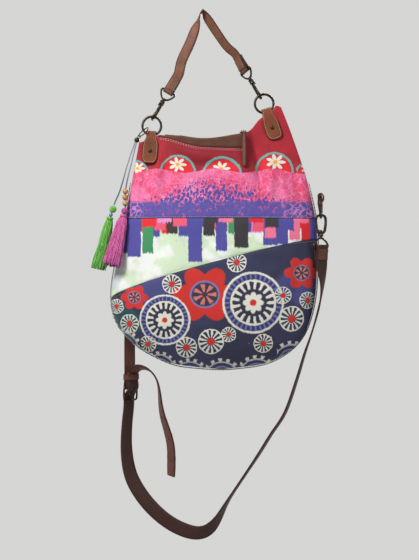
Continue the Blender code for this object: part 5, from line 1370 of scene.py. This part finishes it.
for number, finish in ((1, wood("bead_oak", shade("8a5a2c"), shade("c79a5c"))),
                       (2, wood("bead_amber", shade("96551f"), shade("cf8b3c"))),
                       (3, wood("bead_walnut", shade("8a6038"), shade("d0a870")))):
    axis = Vector(ROSE_CORD[number + 5]) - Vector(ROSE_CORD[number + 3])
    bead = turned(BEAD, along_axis(ROSE_CORD[number + 4], axis))
    place_piece("turned_bead_" + str(number), bead, finish, "charm", "bead_wood", "wood_bead_" + str(number))


def yarn(name, dark, light, tip=None, tip_level=0.0):
    """Cotton threads: lengthwise streaks of lighter and darker dye."""
    finish = Finish(name, roughness=0.88, specular=0.2, sheen_weight=0.3)
    streak = finish.noise(1.0, 3.0, 0.7, finish.stretched(900, 900, 90))
    fuzz = finish.noise(1800, 2.0)
    colour = finish.mix((streak - 0.5) * 2.6 + 0.5 + (fuzz - 0.5) * 0.6, dark, light)
    if tip:
        height = finish.axes()[2]
        colour = finish.mix(height.under(tip_level, 0.03) * 0.6, colour, tip)
    finish.set("Base Color", colour)
    finish.bump(streak + fuzz * 0.5, 0.0006)
    return finish


def bound_head(name, node, place, axis, radius, finish, slot):
    """A ball of thread wound round and round, with a hollow at each pole."""
    steps = WINDINGS * 3
    profile = [(0.0008, -radius * 0.90)]
    for k in range(steps + 1):
        angle = math.pi * (0.07 + 0.86 * k / steps) - math.pi / 2
        out = radius * (1 + 0.022 * math.cos(math.tau * k / 3))
        profile.append((out * math.cos(angle), out * math.sin(angle)))
    profile.append((0.0008, radius * 0.90))
    place_piece(name, turned(profile, along_axis(place, axis)), finish, "charm", slot, node)


rose_yarn = yarn("rose_yarn", shade("a02f72"), shade("e479b4"), shade("6a2a6e"), -0.428)
rose_binding = yarn("rose_binding", shade("7d2c74"), shade("c85a9c"))
lime_yarn = yarn("lime_yarn", shade("2f7a2c"), shade("86d358"), shade("1f5c3a"), -0.437)
bound_head("rose_head", "pink_head", ROSE_HEAD, ROSE_TOP - ROSE_HEAD, 0.00565, rose_binding, "pink_thread")
bound_head("lime_head", "green_head", LIME_HEAD, LIME_TOP - LIME_HEAD, 0.00615, lime_yarn, "green_thread")
blue_glass = Finish("blue_glass", roughness=0.14, specular=0.6, coat_weight=0.6, coat_roughness=0.05)
blue_glass.set("Base Color", blue_glass.mix(blue_glass.noise(420, 2.0), shade("1c3f86"), shade("5aa2cf")))
bead_place = LIME_HEAD + (LIME_TOP - LIME_HEAD).normalized() * 0.0099
glass_bead = turned([(radius * 0.69, height * 0.74) for radius, height in BEAD],
                    along_axis(bead_place, LIME_TOP - LIME_HEAD))
place_piece("glass_bead", glass_bead, blue_glass, "charm", "bead_blue", "blue_bead")


def tassel(name, node, top, bottom, finish, slot, count):
    """A skirt of loose threads, each on its own slightly wavering way from the head to an uneven end."""
    solid = copy_of(node)
    tree = BVHTree.FromBMesh(solid)
    axis = (bottom - top).normalized()
    right = axis.orthogonal().normalized()
    ahead = axis.cross(right)
    curve = bpy.data.curves.new(name, "CURVE")
    curve.dimensions = "3D"
    curve.bevel_depth = THREAD_RADIUS
    curve.bevel_resolution = 0
    curve.resolution_u = 3
    curve.use_fill_caps = True
    for k in range(count):
        start = math.tau * k * 0.618
        depth = 0.45 + 0.57 * math.sqrt(random.random())
        ends = 0.94 + 0.07 * random.random()
        sway = random.uniform(-0.22, 0.22)
        points = []
        for step in range(THREAD_BENDS):
            t = step / (THREAD_BENDS - 1) * ends
            middle = top.lerp(bottom, min(t, 0.99))
            angle = start + sway * t + 0.12 * math.sin(7 * t + k)
            side = right * math.cos(angle) + ahead * math.sin(angle)
            reach = tree.ray_cast(middle + side * REACH, -side)[3]
            out = (REACH - reach) if reach else 0.006
            points.append(top.lerp(bottom, t) + side * out * depth * (1 + 0.05 * math.sin(13 * t + k * 2)))
        spline = curve.splines.new("BEZIER")
        spline.bezier_points.add(len(points) - 1)
        for point, place in zip(spline.bezier_points, points):
            point.co = place
            point.handle_left_type = point.handle_right_type = "AUTO"
    holder = bpy.data.objects.new(name, curve)
    scene.collection.objects.link(holder)
    bpy.context.view_layer.update()
    threads = bmesh.new()
    threads.from_mesh(holder.to_mesh())
    bpy.data.objects.remove(holder)
    for vertex in solid.verts:
        t = (vertex.co - top).dot(axis)
        vertex.co += (top + axis * t - vertex.co) * 0.16 - axis * (0.004 if t > 0.05 else 0)
    binding = [ring_form(top + axis * (0.0012 + 0.0011 * k), axis, 0.0052, 0.0013, steps=32) for k in range(3)]
    place_piece(name, joined(rounded(solid, 1), threads, joined(*binding)), finish, "charm", slot, node)


tassel("rose_tassel", "pink_tassel", ROSE_TOP, ROSE_END, rose_yarn, "pink_thread", 260)
tassel("lime_tassel", "green_tassel", LIME_TOP, LIME_END, lime_yarn, "green_thread", 230)
